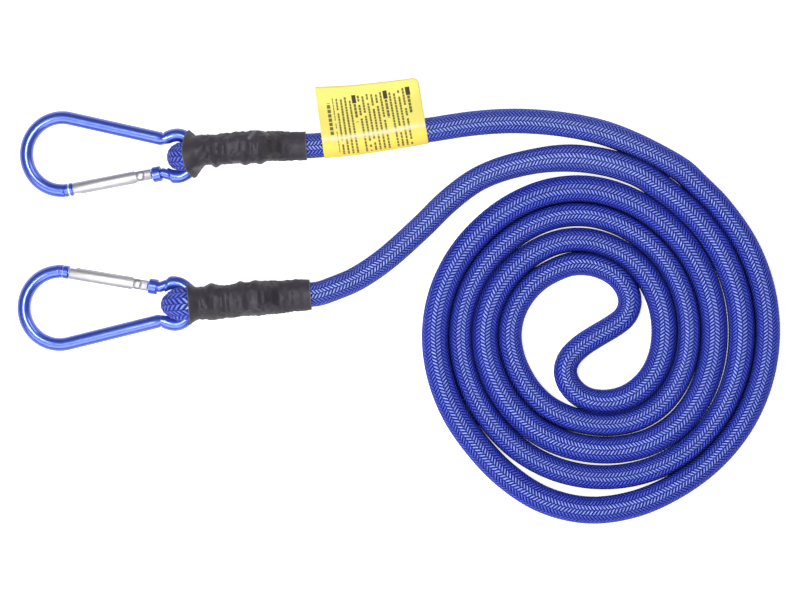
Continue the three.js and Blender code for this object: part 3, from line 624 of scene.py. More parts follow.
def cord_end_line(end):
    legs = (tail_length, ring_places[2], 21.5, ring_places[1], 12.5, ring_places[0])
    points = [(x, leg_heights(x)[0]) for x in legs]
    for degrees in range(75, 286, 15):
        angle = math.radians(degrees)
        points.append((
            eye_loop_radius * math.cos(angle), bar_height + eye_loop_radius * math.sin(angle)))
    points += [(x, leg_heights(x)[1]) for x in legs[:0:-1]]
    level = sleeve_length[end] - level_before
    points += [
        ((ring_places[2] + level) / 2, (points[-1][1] + sleeve_height) / 2),
        (level, sleeve_height), (sleeve_length[end] - stop_before, sleeve_height)]
    placed = [on_sleeve(end, x, drift_at(end, x), z) for x, z in points]
    return smooth_line(placed, loop_spacing)[0]


def sleeve_directions(end):
    """A sleeve's axis at the eye bar, and the directions along and across it."""
    back = on_sleeve(end, 0)
    along = (on_sleeve(end, 1) - back).normalized()
    return back, along, Vector((-along.y, along.x, 0))


def press_loop(piece, end):
    """Spreads the loop above and under the eye, where the hook has pressed it flat."""
    back, along, across = sleeve_directions(end)
    reach_share = (loop_reach[end] - eye_loop_radius) / (cord_diameter / 2)
    width_share = loop_width[end] / cord_diameter - 1
    for vertex in piece.data.vertices:
        offset = vertex.co / MM - back
        x, z = offset.dot(along), offset.z - bar_height
        y = offset.dot(across) - drift_at(end, x)
        pressed = width_share * ease((abs(z) - press_from) / press_span)
        y *= 1 + pressed * ease((press_from - x) / press_span)
        size = math.hypot(x, z)
        if x < 0 and size > eye_loop_radius:
            outer = eye_loop_radius + (size - eye_loop_radius) * reach_share
            share = 1 + (outer / size - 1) * ease(-x / reach_span)
            x, z = x * share, z * share
        place = back + along * x + across * (y + drift_at(end, x))
        vertex.co = Vector((place.x, place.y, z + bar_height)) * MM


for end in ("a", "b"):
    line = cord_end_line(end)
    back, along, across = sleeve_directions(end)
    shares = []
    for point in line:
        x = (point - back).dot(along)
        squeeze = max(1 - ease(abs(x - place) / ring_reach) for place in ring_places)
        gripped = 1 - sleeve_grip * ease(x / 3) * ease((sleeve_length[end] - x) / 6)
        shares.append(gripped - (1 - squeeze_share) * squeeze)
    piece = braided(f"cord_loop_{end}", line, shares, across)
    press_loop(piece, end)
    # The loops get the painted highlight all over.
    mark(piece, "paler_share", lambda point: 1.0)
    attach(piece, "cord_and_hooks")
    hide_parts(f"cord_end_sheath_{end}", f"cord_end_core_{end}")


# Hook frames. One aluminium rod is bent to a pear, with a small eye for the cord, and
# dyed blue. Its nose is turned to a head behind a groove, and its other end has a
# shoulder and a flat tongue for the gate's rivet.
rod = 2.65
bow_radius = 14.6
bow_distance = 55.3
eye_radius = 8.3
side_slope = math.radians(11.5)
waist_bend = 3.6
# How much the rod narrows and rises in the waist's bend.
waist_narrow, waist_rise = 0.14, 0.06
pivot_distance = 22.8
pivot_height = bow_radius * math.cos(side_slope) - (
    bow_distance - pivot_distance - bow_radius * math.sin(side_slope)) * math.tan(side_slope)
eye_taper = 0.28
# Where the rod ends past the eye, and how its end face slants.
eye_end = math.radians(112)
end_lean = -0.7
bow_steps, spine_steps, waist_steps, eye_steps, neck_steps = 72, 24, 12, 56, 9
rod_sides = 40
# Along the gate from its rivet: the nose's face, then the lengths of its head, bare
# groove and collar, and the dark line before the rod. Then the shoulder's face and how
# far its middle lies off the gate's.
nose_shape = {"a": (-28.3, 1.15, 0.65, 1.4, 0.3), "b": (-28.7, 2.1, 0.5, 0.9, 0.35)}
groove_radius = 2.4
groove_shine = {"a": 1.0, "b": 0.3}
shoulder_shape = {"a": (4.75, -0.45), "b": (4.5, -0.1)}
shoulder_length = 3.3
shoulder_radius = 3.05
shoulder_groove = 0.45
neck_radius = 2.05
# Half thicknesses of the tongue at the hinge and of the one at the nose.
tongue_half, nose_half = 1.2, 1.3
hook_tilt = math.asin((bar_height - rod) / (bow_distance + bow_radius))
hook_turn = {"a": math.radians(-1.0), "b": math.radians(2.2)}
sharp_angle = 35


def hook_matrix(end):
    """A hook's own frame, from its eye bar. Hook B lies with its other side up."""
    matrix = Matrix.Translation((*eye_bar[end], bar_height))
    matrix = matrix @ Matrix.Rotation(hook_turn[end], 4, "Z")
    matrix = matrix @ Matrix.Rotation(-hook_tilt, 4, "Y")
    return matrix @ Matrix.Rotation(math.pi, 4, "X") if end == "b" else matrix


gate_matrix = Matrix.Translation((-pivot_distance, -pivot_height, 0)) @ Matrix.Rotation(
    side_slope, 4, "Z")


def arc(centre, radius, start, stop, steps):
    return [
        Vector((
            centre[0] + radius * math.cos(start + (stop - start) * k / steps),
            centre[1] + radius * math.sin(start + (stop - start) * k / steps), 0))
        for k in range(steps + 1)]


def rings_along(stations, sides):
    """Rings of points round a flat path: each station is a point, a half width in the
    path's plane, a half height across it and, where its ring leans, by how much."""
    same_place = 1e-6
    spots = [station[0] for station in stations]
    rings = []
    for i, (at, wide, tall, *lean) in enumerate(stations):
        before, after = spots[max(i - 1, 0)], spots[min(i + 1, len(spots) - 1)]
        if (at - before).length < same_place:
            before = spots[max(i - 2, 0)]
        if (after - at).length < same_place:
            after = spots[min(i + 2, len(spots) - 1)]
        tangent = (after - before).normalized()
        side = Vector((-tangent.y, tangent.x, 0))
        ring = []
        for k in range(sides):
            angle = 2 * math.pi * k / sides
            aside = wide * math.cos(angle)
            lift = Vector((0, 0, tall * math.sin(angle)))
            ring.append(at + side * aside + tangent * (aside * sum(lean)) + lift)
        rings.append(ring)
    return rings


def skin(rings, start=0, closed=False):
    """Faces between rings of points, capped at both ends unless the rings close."""
    sides = len(rings[0])
    count = len(rings)
    faces = []
    for i in range(count if closed else count - 1):
        a, b = start + i * sides, start + (i + 1) % count * sides
        for k in range(sides):
            n = (k + 1) % sides
            faces.append((a + k, a + n, b + n, b + k))
    if not closed:
        faces.append(tuple(start + k for k in reversed(range(sides))))
        faces.append(tuple(start + (count - 1) * sides + k for k in range(sides)))
    return faces


def make_piece(name, shells, matrix, material, smooth_angle=sharp_angle):
    """A mesh object from (rings, closed) shells in millimetres, put in place."""
    weld_distance = 1e-7
    points, faces = [], []
    for rings, closed in shells:
        faces += skin(rings, len(points), closed)
        points += [point for ring in rings for point in ring]
    mesh = bpy.data.meshes.new(name)
    mesh.from_pydata([tuple((matrix @ point) * MM) for point in points], [], faces)
    built = bmesh.new()
    built.from_mesh(mesh)
    bmesh.ops.remove_doubles(built, verts=built.verts, dist=weld_distance)
    bmesh.ops.recalc_face_normals(built, faces=built.faces)
    built.to_mesh(mesh)
    built.free()
    mesh.materials.append(material)
    mesh.shade_smooth()
    mesh.set_sharp_from_angle(angle=math.radians(smooth_angle))
    return new_object(name, mesh)


def box_rings(low, high, chamfer=0.0):
    """A box along x as rings, with its end edges drawn in."""
    rings = []
    for x, inset in (
            (low[0], chamfer), (low[0] + chamfer, 0), (high[0] - chamfer, 0), (high[0], chamfer)):
        y0, y1, z0, z1 = low[1] + inset, high[1] - inset, low[2] + inset, high[2] - inset
        rings.append([Vector((x, y, z)) for y, z in ((y0, z0), (y1, z0), (y1, z1), (y0, z1))])
    return rings


def hook_stations(end):
    """The rod from its nose round the bow, the spine, the waist and the eye to the neck."""
    touch = math.pi / 2 - side_slope
    head_face, head, groove, collar, line = nose_shape[end]
    groove_end = head_face - head - groove
    rod_end = groove_end - collar - line

    def on_gate_line(x, aside=0.0):
        return gate_matrix @ Vector((x, aside, 0))

    # The small steps are the bevels of the turned edges.
    stations = []
    for x, radius in (
            (head_face, rod - 0.45), (head_face - 0.15, rod), (head_face - head + 0.1, rod),
            (head_face - head, rod - 0.15), (head_face - head - 0.05, groove_radius),
            (groove_end + 0.05, groove_radius), (groove_end, rod - 0.15),
            (groove_end - 0.1, rod), (rod_end + line + 0.1, rod), (rod_end + line, rod - 0.1),
            (rod_end + line - 0.05, rod - 0.6), (rod_end + 0.05, rod - 0.6),
            (rod_end, rod - 0.2), (rod_end - 0.15, rod)):
        stations.append((on_gate_line(x), radius, radius))
    nose_along = rod_end * math.cos(side_slope) - pivot_distance + bow_distance
    nose_angle = 2 * math.pi - math.acos(nose_along / bow_radius)
    bow = arc((-bow_distance, 0), bow_radius, nose_angle - 0.06, touch, bow_steps)
    stations += [(point, rod, rod) for point in bow]
    # The waist bends the other way, on a circle that touches the spine and the eye's.
    along = Vector((math.cos(side_slope), -math.sin(side_slope), 0))
    left = Vector((math.sin(side_slope), math.cos(side_slope), 0))
    line_start = bow[-1] + left * waist_bend
    eye_centre = Vector((-eye_radius, 0, 0))
    to_start = line_start - eye_centre
    reach = eye_radius + waist_bend
    half = to_start.dot(along)
    distance = -half - math.sqrt(half * half - to_start.length_squared + reach * reach)
    waist_centre = line_start + along * distance
    towards = eye_centre - waist_centre
    eye_side = math.atan2(towards.y, towards.x)
    waist = arc(waist_centre, waist_bend, -math.pi / 2 - side_slope, eye_side, waist_steps)
    for k in range(1, spine_steps):
        stations.append((bow[-1].lerp(waist[0], k / spine_steps), rod, rod))
    for k, point in enumerate(waist):
        pinch = math.sin(math.pi * k / waist_steps)
        stations.append((
            point, rod * (1 - waist_narrow * pinch), rod * (1 + waist_rise * pinch)))
    eye = arc(eye_centre, eye_radius, eye_side + math.pi, -eye_end, eye_steps)
    for k, point in enumerate(eye[1:]):
        # The eye is a little pointed towards the sleeve, and its last rings lean.
        forward = max(0.0, (point.x + eye_radius) / eye_radius)
        spot = Vector((point.x, point.y * (1 - eye_taper * forward ** 2), 0))
        stations.append((spot, rod, rod, end_lean * ease((k - 45) / 10)))
    shoulder_face, aside = shoulder_shape[end]
    back = shoulder_face + shoulder_length
    neck = back + shoulder_groove
    # The neck is filed thinner than the eye, with a slanting step between them.
    start, stop = stations[-1][0], on_gate_line(neck + 0.2, aside)
    stations[-1] = (start, rod - 0.25, rod - 0.25, end_lean)
    for k in range(neck_steps):
        spot = start.lerp(stop, 0.012 + k / neck_steps)
        stations.append((spot, neck_radius, neck_radius, end_lean * (1 - ease(k / 3))))
    for x, radius in (
            (neck, neck_radius), (neck - 0.04, neck_radius - 0.25),
            (back + 0.04, neck_radius - 0.25), (back, shoulder_radius - 0.2),
            (back - 0.2, shoulder_radius), (shoulder_face + 0.2, shoulder_radius),
            (shoulder_face, shoulder_radius - 0.2)):
        stations.append((on_gate_line(x, aside), radius, radius))
    return stations


def hook_shells(end):
    """The bent rod and its two tongues, which are flat boxes in line with the gate."""
    head_face = nose_shape[end][0]
    shells = [(rings_along(hook_stations(end), rod_sides), False)]
    for low, high, chamfer in (
            ((-1.6, -2.0, -tongue_half), (shoulder_shape[end][0] + 0.8, 2.0, tongue_half), 0.8),
            ((head_face - 0.4, -1.6, -nose_half), (head_face + 2.7, 0.5, nose_half), 0.2)):
        rings = [[gate_matrix @ point for point in ring] for ring in box_rings(low, high, chamfer)]
        shells.append((rings, False))
    return shells


anodised = (0.075, 0.14, 0.72, 1)
anodised_worn = (0.14, 0.23, 0.86, 1)
bare_metal = (0.86, 0.87, 0.9, 1)


def object_place(graph):
    return graph.node("ShaderNodeTexCoord").other("Object")


def drawn_lines(graph, place, scale, detail):
    """The fine lines that drawing leaves along a rod or tube."""
    stretched = graph.node("ShaderNodeMapping", None, {"Vector": place, "Scale": scale})
    return mottled(graph, stretched, 1.0, detail)


def anodised_material():
    material, graph = start_material("anodised_blue")
    place = object_place(graph)
    cloud = mottled(graph, place, 260.0, 4.0)
    drawn = drawn_lines(graph, place, (300, 4200, 4200), 2.0)
    paler_share = graph.node("ShaderNodeMapRange", None, (cloud, 0.52, 0.8, 0.0, 0.5))
    colour = graph.mixed(paler_share, anodised, anodised_worn)
    colour = graph.mixed(stored(graph, "bare"), colour, bare_metal)
    finish_material(graph, {
        "Base Color": colour, "Metallic": 0.75, "Roughness": 0.26 + 0.1 * drawn,
        "Coat Weight": 1.0, "Coat Roughness": 0.14, "Coat IOR": 1.7,
        "Normal": bumped(graph, 0.05, 0.0001, drawn + cloud * 0.6)})
    return material


anodised_blue = anodised_material()
for end in ("a", "b"):
    piece = make_piece(f"hook_{end}", hook_shells(end), hook_matrix(end), anodised_blue)
    to_gate = (hook_matrix(end) @ gate_matrix).inverted()

    def in_groove(point):
        place = to_gate @ point
        head_face, head, groove = nose_shape[end][:3]
        middle = head_face - head - groove / 2
        inside = abs(place.x - middle) < groove / 2 and abs(place.y) < 2 * rod
        return groove_shine[end] * float(inside)

    mark(piece, "bare", in_groove)
    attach(piece, "cord_and_hooks")
    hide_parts(f"hook_frame_{end}")


# Gates. Each is a drawn steel tube, closed round the nose's tongue and forked over the
# hinge's, where a rivet holds it. A pusher and a spring inside keep it shut.
gate_radius = 2.5
gate_bore = 1.9
gate_reach = {"a": (28.0, 4.4), "b": (28.35, 4.15)}
bore_reach = 21.5
fork_start = -2.7
# The nose's slot: how far it reaches behind the head's face, and its edge across the gate.
nose_slot = (3.0, 0.8)
clearance = 0.3
cheek_half = 3.0
gate_sides, cheek_sides, rivet_sides = 48, 64, 32
# A cutter reaches this far past the tube's ends, and this far from its middle.
past_end, past_side = 1, 4
# The rivet's head from its crown to its shank, as places along it and radii.
rivet_head = ((3.25, 0.35), (3.18, 0.9), (3.0, 1.3), (2.82, 1.5), (2.7, 1.5), (2.7, 0.75))
# The painted shadow round the rivet's head, in metres, as the shader reads its place.
rivet_shadow = (0.00148, 0.00185)
gate_dull = (0.58, 0.57, 0.59, 1)
gate_bright = (0.74, 0.73, 0.75, 1)
gate_shadow = (0.06, 0.06, 0.08, 1)


def carved(piece, cutter, operation="DIFFERENCE"):
    """Changes the piece by a boolean with a cutter, which is used up."""
    modifier = piece.modifiers.new("cut", "BOOLEAN")
    modifier.operation = operation
    modifier.solver = "EXACT"
    modifier.object = cutter
    mesh = plain_mesh(piece)
    piece.modifiers.remove(modifier)
    piece.data = mesh
    bpy.data.objects.remove(cutter)


def turned(profile, sides):
    """Rings of a body turned about x, from (x, radius) pairs."""
    rings = []
    for x, radius in profile:
        angles = [2 * math.pi * k / sides for k in range(sides)]
        rings.append([
            Vector((x, radius * math.cos(angle), radius * math.sin(angle))) for angle in angles])
    return rings


def gate_material():
    material, graph = start_material("gate_steel")
    place = object_place(graph)
    drawn = drawn_lines(graph, place, (120, 5200, 5200), 3.0)
    cloud = mottled(graph, place, 420.0, 3.0)
    colour = graph.mixed(cloud, gate_dull, gate_bright)
    ring = 0.0
    for end in ("a", "b"):
        matrix = hook_matrix(end) @ gate_matrix
        shift = vector_sum(graph, "SUBTRACT", place, matrix.translation * MM)
        cross = vector_sum(graph, "CROSS_PRODUCT", shift, matrix.to_3x3().col[2])
        away = vector_sum(graph, "LENGTH", cross).other("Value")
        # Painted shadow in a ring round each rivet's head.
        ring = (away > rivet_shadow[0]) * (away < rivet_shadow[1]) + ring
    colour = graph.mixed(ring * 0.6, colour, gate_shadow)
    finish_material(graph, {
        "Base Color": colour, "Metallic": 0.9, "Roughness": 0.4 + 0.16 * drawn,
        "Normal": bumped(graph, 0.1, 0.0001, drawn)})
    return material


gate_steel = gate_material()


def steel_body(name, rings, matrix):
    return make_piece(name, [(rings, False)], matrix, gate_steel)


for end in ("a", "b"):
    matrix = hook_matrix(end) @ gate_matrix
    rivet_turn = matrix @ Matrix.Rotation(math.pi / 2, 4, "Y")
    nose_reach, tail_reach = gate_reach[end]
    nose_past, tail_past = -nose_reach - past_end, tail_reach + past_end
    tube = steel_body(f"gate_{end}_tube", turned((
        (-nose_reach, gate_radius - 0.3), (-nose_reach + 0.12, gate_radius - 0.08),
        (-nose_reach + 0.35, gate_radius), (tail_reach - 0.3, gate_radius),
        (tail_reach, gate_radius - 0.2)), gate_sides), matrix)
    # The tail is rounded about the rivet.
    rounding = steel_body("rounding", turned((
        (-cheek_half, 0.1), (-cheek_half, tail_reach), (cheek_half, tail_reach),
        (cheek_half, 0.1)), cheek_sides), rivet_turn)
    half_box = box_rings((nose_past, -past_side, -past_side), (0, past_side, past_side))
    carved(rounding, steel_body("half_box", half_box, matrix), "UNION")
    carved(tube, rounding, "INTERSECT")
    slot_back, slot_edge = nose_slot
    for low, high in (
            ((fork_start, -past_side, -tongue_half - clearance),
             (tail_past, past_side, tongue_half + clearance)),
            ((nose_past, -past_side, -nose_half - clearance),
             (nose_shape[end][0] + slot_back, slot_edge, nose_half + clearance))):
        carved(tube, steel_body("slot", box_rings(low, high), matrix))
    bore = turned(((-bore_reach, gate_bore), (tail_past, gate_bore)), gate_sides)
    carved(tube, steel_body("bore", bore, matrix))
    tube.name = f"gate_tube_{end}"
    tube.data.shade_smooth()
    tube.data.set_sharp_from_angle(angle=math.radians(sharp_angle))
    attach(tube, f"gate_of_hook_{end}")
    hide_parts(f"gate_{end}")

    rivet_profile = [(-x, r) for x, r in rivet_head] + [(x, r) for x, r in reversed(rivet_head)]
    rivet = steel_body(f"rivet_{end}", turned(rivet_profile, rivet_sides), rivet_turn)
    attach(rivet, f"gate_of_hook_{end}")
    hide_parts(f"gate_rivet_{end}")


# Pushers, springs and clamp rings. They are drawn steel wire and pins inside the gates
# and under the sleeves. Their solids are right as they are and only get a finish.
wire_dull = (0.42, 0.42, 0.43, 1)
wire_bright = (0.66, 0.66, 0.67, 1)


def wire_material():
    material, graph = start_material("wire_steel")
    spots = mottled(graph, object_place(graph), 900.0, 3.0)
    finish_material(graph, {
        "Base Color": graph.mixed(spots, wire_dull, wire_bright), "Metallic": 1.0,
        "Roughness": 0.3 + 0.25 * spots, "Normal": bumped(graph, 0.15, 0.0001, spots)})
    return material


wire_steel = wire_material()
for name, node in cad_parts.items():
    if name.startswith(("gate_pusher", "gate_spring", "clamp_ring")):
        for slot in node.material_slots:
            slot.material = wire_steel


# Sleeves. A length of charcoal rubber tube is slid over the folded cord and shrunk: its
# mouth stands open round the eye, the clamp rings and their ears show as lumps, and
# past the tail's cut end it closes on the single cord.
sleeve_wall = 0.65
sleeve_steps, sleeve_sides = 110, 72
# Distance from the eye bar, then the edge towards +Y and towards -Y without the lumps.
sleeve_plan = {
    "a": (
        (-3.2, 8.3, 10.9), (-2.3, 7.4, 10.6), (-0.5, 6.0, 8.9), (1.5, 5.8, 6.9), (3.0, 5.7, 5.6),
        (7.0, 5.9, 5.7), (12.5, 6.2, 5.7), (17.0, 6.9, 5.7), (24.2, 6.6, 5.6),
        (31.0, 6.25, 5.45), (43.3, 5.78, 5.72)),
    "b": (
        (-2.8, 8.8, 8.5), (-1.8, 7.7, 7.6), (-0.6, 7.0, 6.9), (1.0, 6.5, 6.45), (7.0, 6.5, 6.85),
        (12.5, 6.4, 6.55), (18.4, 6.7, 6.5), (24.4, 6.7, 6.5), (32.0, 6.4, 6.35),
        (46.0, 6.05, 6.15)),
}
# Distance, reach and half length of each lump, on the side of the rings' ears.
sleeve_lumps = {
    "a": (-1, ((7.0, 1.45, 2.6), (18.7, 1.05, 2.6), (24.8, 1.05, 2.6))),
    "b": (1, ((6.9, 1.2, 2.8), (18.4, 0.85, 2.2), (24.4, 0.75, 2.6))),
}
# Distance, lowest and highest point, and how square the section is.
sleeve_side = (
    (-3.2, 0.2, 27.6, 2.0), (0.0, 0.0, 27.7, 2.8), (5.0, 0.3, 26.9, 2.7), (7.0, 0.1, 26.2, 3.0),
    (12.5, 0.5, 24.9, 3.0), (18.5, 0.3, 24.8, 3.0), (21.5, 0.6, 23.8, 2.8),
    (24.5, 0.1, 24.3, 3.0), (27.4, 0.7, 22.9, 2.6), (30.0, 0.5, 18.0, 2.3),
    (33.5, 0.1, 12.9, 2.0), (38.0, 0.05, 12.1, 2.0), (46.0, 0.05, 12.1, 2.0))
mouth_length = 6
mouth_lip = {"a": 2.8, "b": -0.3}
# How far the mouth's rim is pulled back at the edge towards +Y and at the one towards -Y.
mouth_shift = {"a": (0.4, 1.4), "b": (0.0, 0.0)}
# How fast the folds change along the sleeve and round it, and where their noise starts.
fold_along, fold_round = 0.16, 0.9
fold_start = {"a": 3.1, "b": 7.7}
# Past this distance the sleeve no longer lies on two legs of cord.
two_legs_end = 22


def between(table, x):
    """The row of a table at x, by smooth steps between its rows."""
    if x <= table[0][0]:
        return table[0][1:]
    for low, high in zip(table, table[1:]):
        if x <= high[0]:
            share = (x - low[0]) / (high[0] - low[0])
            share = 0.5 * share + 0.5 * ease(share)
            return tuple(a + (b - a) * share for a, b in zip(low[1:], high[1:]))
    return table[-1][1:]


def clear_of_cord(end, x, y, z, gap):
    """Moves a point of the sleeve's section out of the folded cord, if it is in it."""
    high, low = leg_heights(max(x, 0))
    spread = (eye_loop_radius - leg_spacing / 2 - leg_spread) * (1 - ease(x / 8))
    near_y = drift_at(end, x)
    near_z = min(max(z, low - spread), high + spread)
    gap += (loop_width[end] - cord_diameter) / 2 * ease((press_from - x) / press_span)
    away = math.hypot(y - near_y, z - near_z)
    if x > two_legs_end or away > gap or away < 0.1:
        return y, z
    return near_y + (y - near_y) * gap / away, near_z + (z - near_z) * gap / away


def sleeve_rings(end, wall):
    length = sleeve_length[end]
    start = sleeve_plan[end][0][0]
    ear_side, lumps = sleeve_lumps[end]
    rings = []
    for i in range(sleeve_steps + 1):
        x = start + (length - start) * i / sleeve_steps
        plus, minus = between(sleeve_plan[end], x)
        low, high, square = between(sleeve_side, x)
        open_mouth = 1 - ease((x - start) / mouth_length)
        middle_y, half_y = (plus - minus) / 2, (plus + minus) / 2 - wall
        middle_z, half_z = (low + high) / 2, (high - low) / 2 - wall
        ring = []
        for k in range(sleeve_sides):
            angle = 2 * math.pi * k / sleeve_sides
            c, s = math.cos(angle), math.sin(angle)
            y = half_y * math.copysign(abs(c) ** (2 / square), c)
            z = half_z * math.copysign(abs(s) ** (2 / square), s)
            over_ring = 0.0
            for place, reach, spread in lumps:
                share = (1 - ease(abs(x - place) / spread)) * ease(c * ear_side / 0.8)
                y += ear_side * reach * share
                over_ring = max(over_ring, share)
            far = x - open_mouth * mouth_lip[end] * abs(z / half_z)
            far += open_mouth * mouth_shift[end][0 if c > 0 else 1] * abs(c)
            # Broad folds, small ones and sharp creases, which fade towards both ends.
            spot = Vector((x * fold_along, c * fold_round, s * fold_round + fold_start[end]))
            fold = noise.noise(spot * 1.2) * 0.5 + noise.noise(spot * 3.1) * 0.22
            crease = max(0.0, 1 - abs(noise.noise(spot * 2.3 + Vector((5.2, 0, 0)))) * 3)
            fold = (fold + 0.35 * crease ** 2) * min(1.0, (length - x) / 6)
            fold *= (1 - open_mouth) * (1 - over_ring)
            shrink = 1 + fold / max(half_y, 1)
            y, z = middle_y + y * shrink, middle_z + z * shrink
            gap = cord_diameter / 2 + 0.8 - wall + 0.5 * open_mouth
            y, z = clear_of_cord(end, far, y, z, gap)
            ring.append(on_sleeve(end, far, y, max(z, low + wall)))
        rings.append(ring)
    return rings


charcoal = (0.034, 0.029, 0.039, 1)
charcoal_rubbed = (0.058, 0.049, 0.063, 1)
charcoal_highlight = (0.30, 0.28, 0.32, 1)
# Painted highlights on the folds, each from one point to another beside the eye bar, with its
# width. They are painted only above this height, and fade in over the one after it.
sleeve_highlights = {
    "a": (
        ((20.8, 3.8), (23.2, 6.4), 1.1), ((26.2, 6.6), (28.3, 5.0), 1.1),
        ((-1.2, -7.6), (6.0, -6.4), 1.2), ((27.6, -5.8), (30.6, -5.3), 0.9),
        ((14.0, -5.5), (17.0, -5.6), 0.8)),
    "b": (((3.8, 6.8), (8.2, 7.7), 0.9), ((14.0, 7.0), (18.4, 7.9), 0.9)),
}
highlight_height, highlight_fade = 13, 6
highlight_share = 0.5
rim_reach = 0.02


def sleeve_material():
    material, graph = start_material("sleeve_black")
    place = object_place(graph)
    cloud = mottled(graph, place, 120.0, 5.0)
    grain = mottled(graph, place, 1800.0, 2.0)
    colour = graph.mixed(cloud, charcoal, charcoal_rubbed)
    # The folds and the rims get a painted highlight.
    colour = graph.mixed(stored(graph, "painted_highlight") * (0.6 + 0.6 * cloud), colour, charcoal_highlight)
    finish_material(graph, {
        "Base Color": colour, "Roughness": 0.4 + 0.2 * cloud, "Specular IOR Level": 0.3,
        "Normal": bumped(graph, 0.4, 0.0003, cloud * 0.8 + grain * 0.2)})
    return material


sleeve_black = sleeve_material()
for end in ("a", "b"):
    outer, inner = sleeve_rings(end, 0.0), sleeve_rings(end, sleeve_wall)
    piece = make_piece(
        f"sleeve_{end}", [(outer + inner[::-1], True)], Matrix.Identity(4), sleeve_black, 50)
    back, along, across = sleeve_directions(end)
    rims = [point for rings in (outer, inner) for point in rings[0] + rings[-1]]

    def highlighted(point):
        spot = Vector(((point - back).dot(along), (point - back).dot(across)))
        # The rims of the sleeve's ends get the painted highlight too.
        most = highlight_share * float(min((point - rim).length for rim in rims) < rim_reach)
        seen = ease((point.z - highlight_height) / highlight_fade)
        for first, last, width in sleeve_highlights[end]:
            first, last = Vector(first), Vector(last)
            share = (spot - first).dot(last - first) / (last - first).length_squared
            away = (spot - first.lerp(last, min(max(share, 0.0), 1.0))).length
            most = max(most, highlight_share * (1 - ease(away / width)) * seen)
        return most

    mark(piece, "painted_highlight", highlighted)
    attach(piece, "cord_and_hooks")
    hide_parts(f"shrink_sleeve_{end}")


# Tag. A strip of yellow film is wrapped round the lead by sleeve A, and its two leaves
# are stuck together in a flag that slopes down to the table.
tag_start = 6.5
tag_width = 42.0
tag_film = 0.25
# How far the flag reaches from the cord's middle at its two sides, and its round corner.
tag_reach = (24.0, 22.1)
tag_corner = 2.0
tag_drop = 4.6
tag_wrap = cord_diameter / 2 + 0.27
tag_touch = math.radians(70)
tag_steps, leaf_steps, flank_steps, wrap_steps = 84, 8, 9, 24


def tag_profile(reach):
    """The film across the cord, as (out, up) points: the upper leaf, the wrap, the lower leaf."""
    slope = math.atan2(tag_drop, reach)
    meet = tag_wrap / math.cos(tag_touch)
    flank = (tag_wrap * math.cos(tag_touch), tag_wrap * math.sin(tag_touch))
    upper = [
        (reach + (meet - reach) * k / leaf_steps, tag_film / 2) for k in range(leaf_steps + 1)]
    for k in range(1, flank_steps):
        share = ease(k / flank_steps) * 0.3 + k / flank_steps * 0.7
        upper.append((
            meet + (flank[0] - meet) * k / flank_steps,
            tag_film / 2 + (flank[1] - tag_film / 2) * share))
    wrap = []
    for k in range(wrap_steps + 1):
        angle = tag_touch + (2 * math.pi - 2 * tag_touch) * k / wrap_steps
        wrap.append((tag_wrap * math.cos(angle), tag_wrap * math.sin(angle)))
    film = upper + wrap + [(u, -v) for u, v in reversed(upper)]
    c, s = math.cos(slope), math.sin(slope)
    return [(u * c + v * s, v * c - u * s) for u, v in film]


def tag_piece():
    """The film as a grid of faces. Its marks are the places on the film laid flat, from its
    edge by the sleeve and from its middle, which lies on the cord's outer side."""
    step = cord_length / (len(cord_line) - 1)
    points, faces, marks, film_lengths = [], [], [], []
    for i in range(tag_steps + 1):
        share = i / tag_steps
        reach = tag_reach[0] + (tag_reach[1] - tag_reach[0]) * share
        inset = tag_corner - min(tag_width * (1 - share), tag_corner)
        reach -= tag_corner - math.sqrt(tag_corner ** 2 - inset ** 2)
        profile = tag_profile(reach)
        lengths = [0.0]
        for a, b in zip(profile, profile[1:]):
            lengths.append(lengths[-1] + math.dist(a, b))
        film_lengths.append(lengths[-1])
        distance = (inside_sleeve + tag_start + tag_width * share) / step
        k = int(distance)
        at = cord_line[k].lerp(cord_line[k + 1], distance - k)
        tangent = (cord_line[k + 2] - cord_line[k - 1]).normalized()
        out = Vector((-tangent.y, tangent.x, 0)).normalized()
        for (u, v), length in zip(profile, lengths):
            # Its edge by the sleeve is cut aslant, and the flag curls a little.
            askew = tangent * (-0.06 * u * (1 - share))
            curl = 0.25 * noise.noise(Vector((share * 2.3, u * 0.09, 1.7))) * max(0.0, u / reach)
            points.append((at + askew + out * u + Vector((0, 0, v + curl))) * MM)
            marks.append((share * tag_width, lengths[-1] / 2 - length))
    count = len(profile)
    for i in range(tag_steps):
        for k in range(count - 1):
            a = i * count + k
            faces.append((a, a + 1, a + 1 + count, a + count))
    mesh = bpy.data.meshes.new("tag_film")
    mesh.from_pydata([tuple(point) for point in points], [], faces)
    uv = mesh.uv_layers.new(name="UVMap")
    for loop in mesh.loops:
        uv.data[loop.index].uv = marks[loop.vertex_index]
    mesh.shade_smooth()
    return new_object("tag_film", mesh), sum(film_lengths) / len(film_lengths)


tag_yellow = (1.0, 0.88, 0.175, 1)
tag_pale = (0.98, 0.88, 0.36, 1)
tag_deep = (0.98, 0.74, 0.10, 1)
tag_highlight = (1.0, 0.95, 0.68, 1)
tag_ink = (0.055, 0.045, 0.02, 1)
# The print's columns: their pitch, where the first and the last of them end, and which
# are heavy. Then the margin by the flag's edge, and how long the heavy ones' blocks and
# their text are.
print_pitch = 1.82
print_columns = (3.5, 21.2)
heavy_columns = (8, 15, 20)
print_margin, block_length, heavy_length = 4.0, 3.4, 12.5
# The bolder bar: its sides along the cord and its ends from the margin.
bold_sides, bold_ends = (3.9, 5.2), (1.5, 16.5)


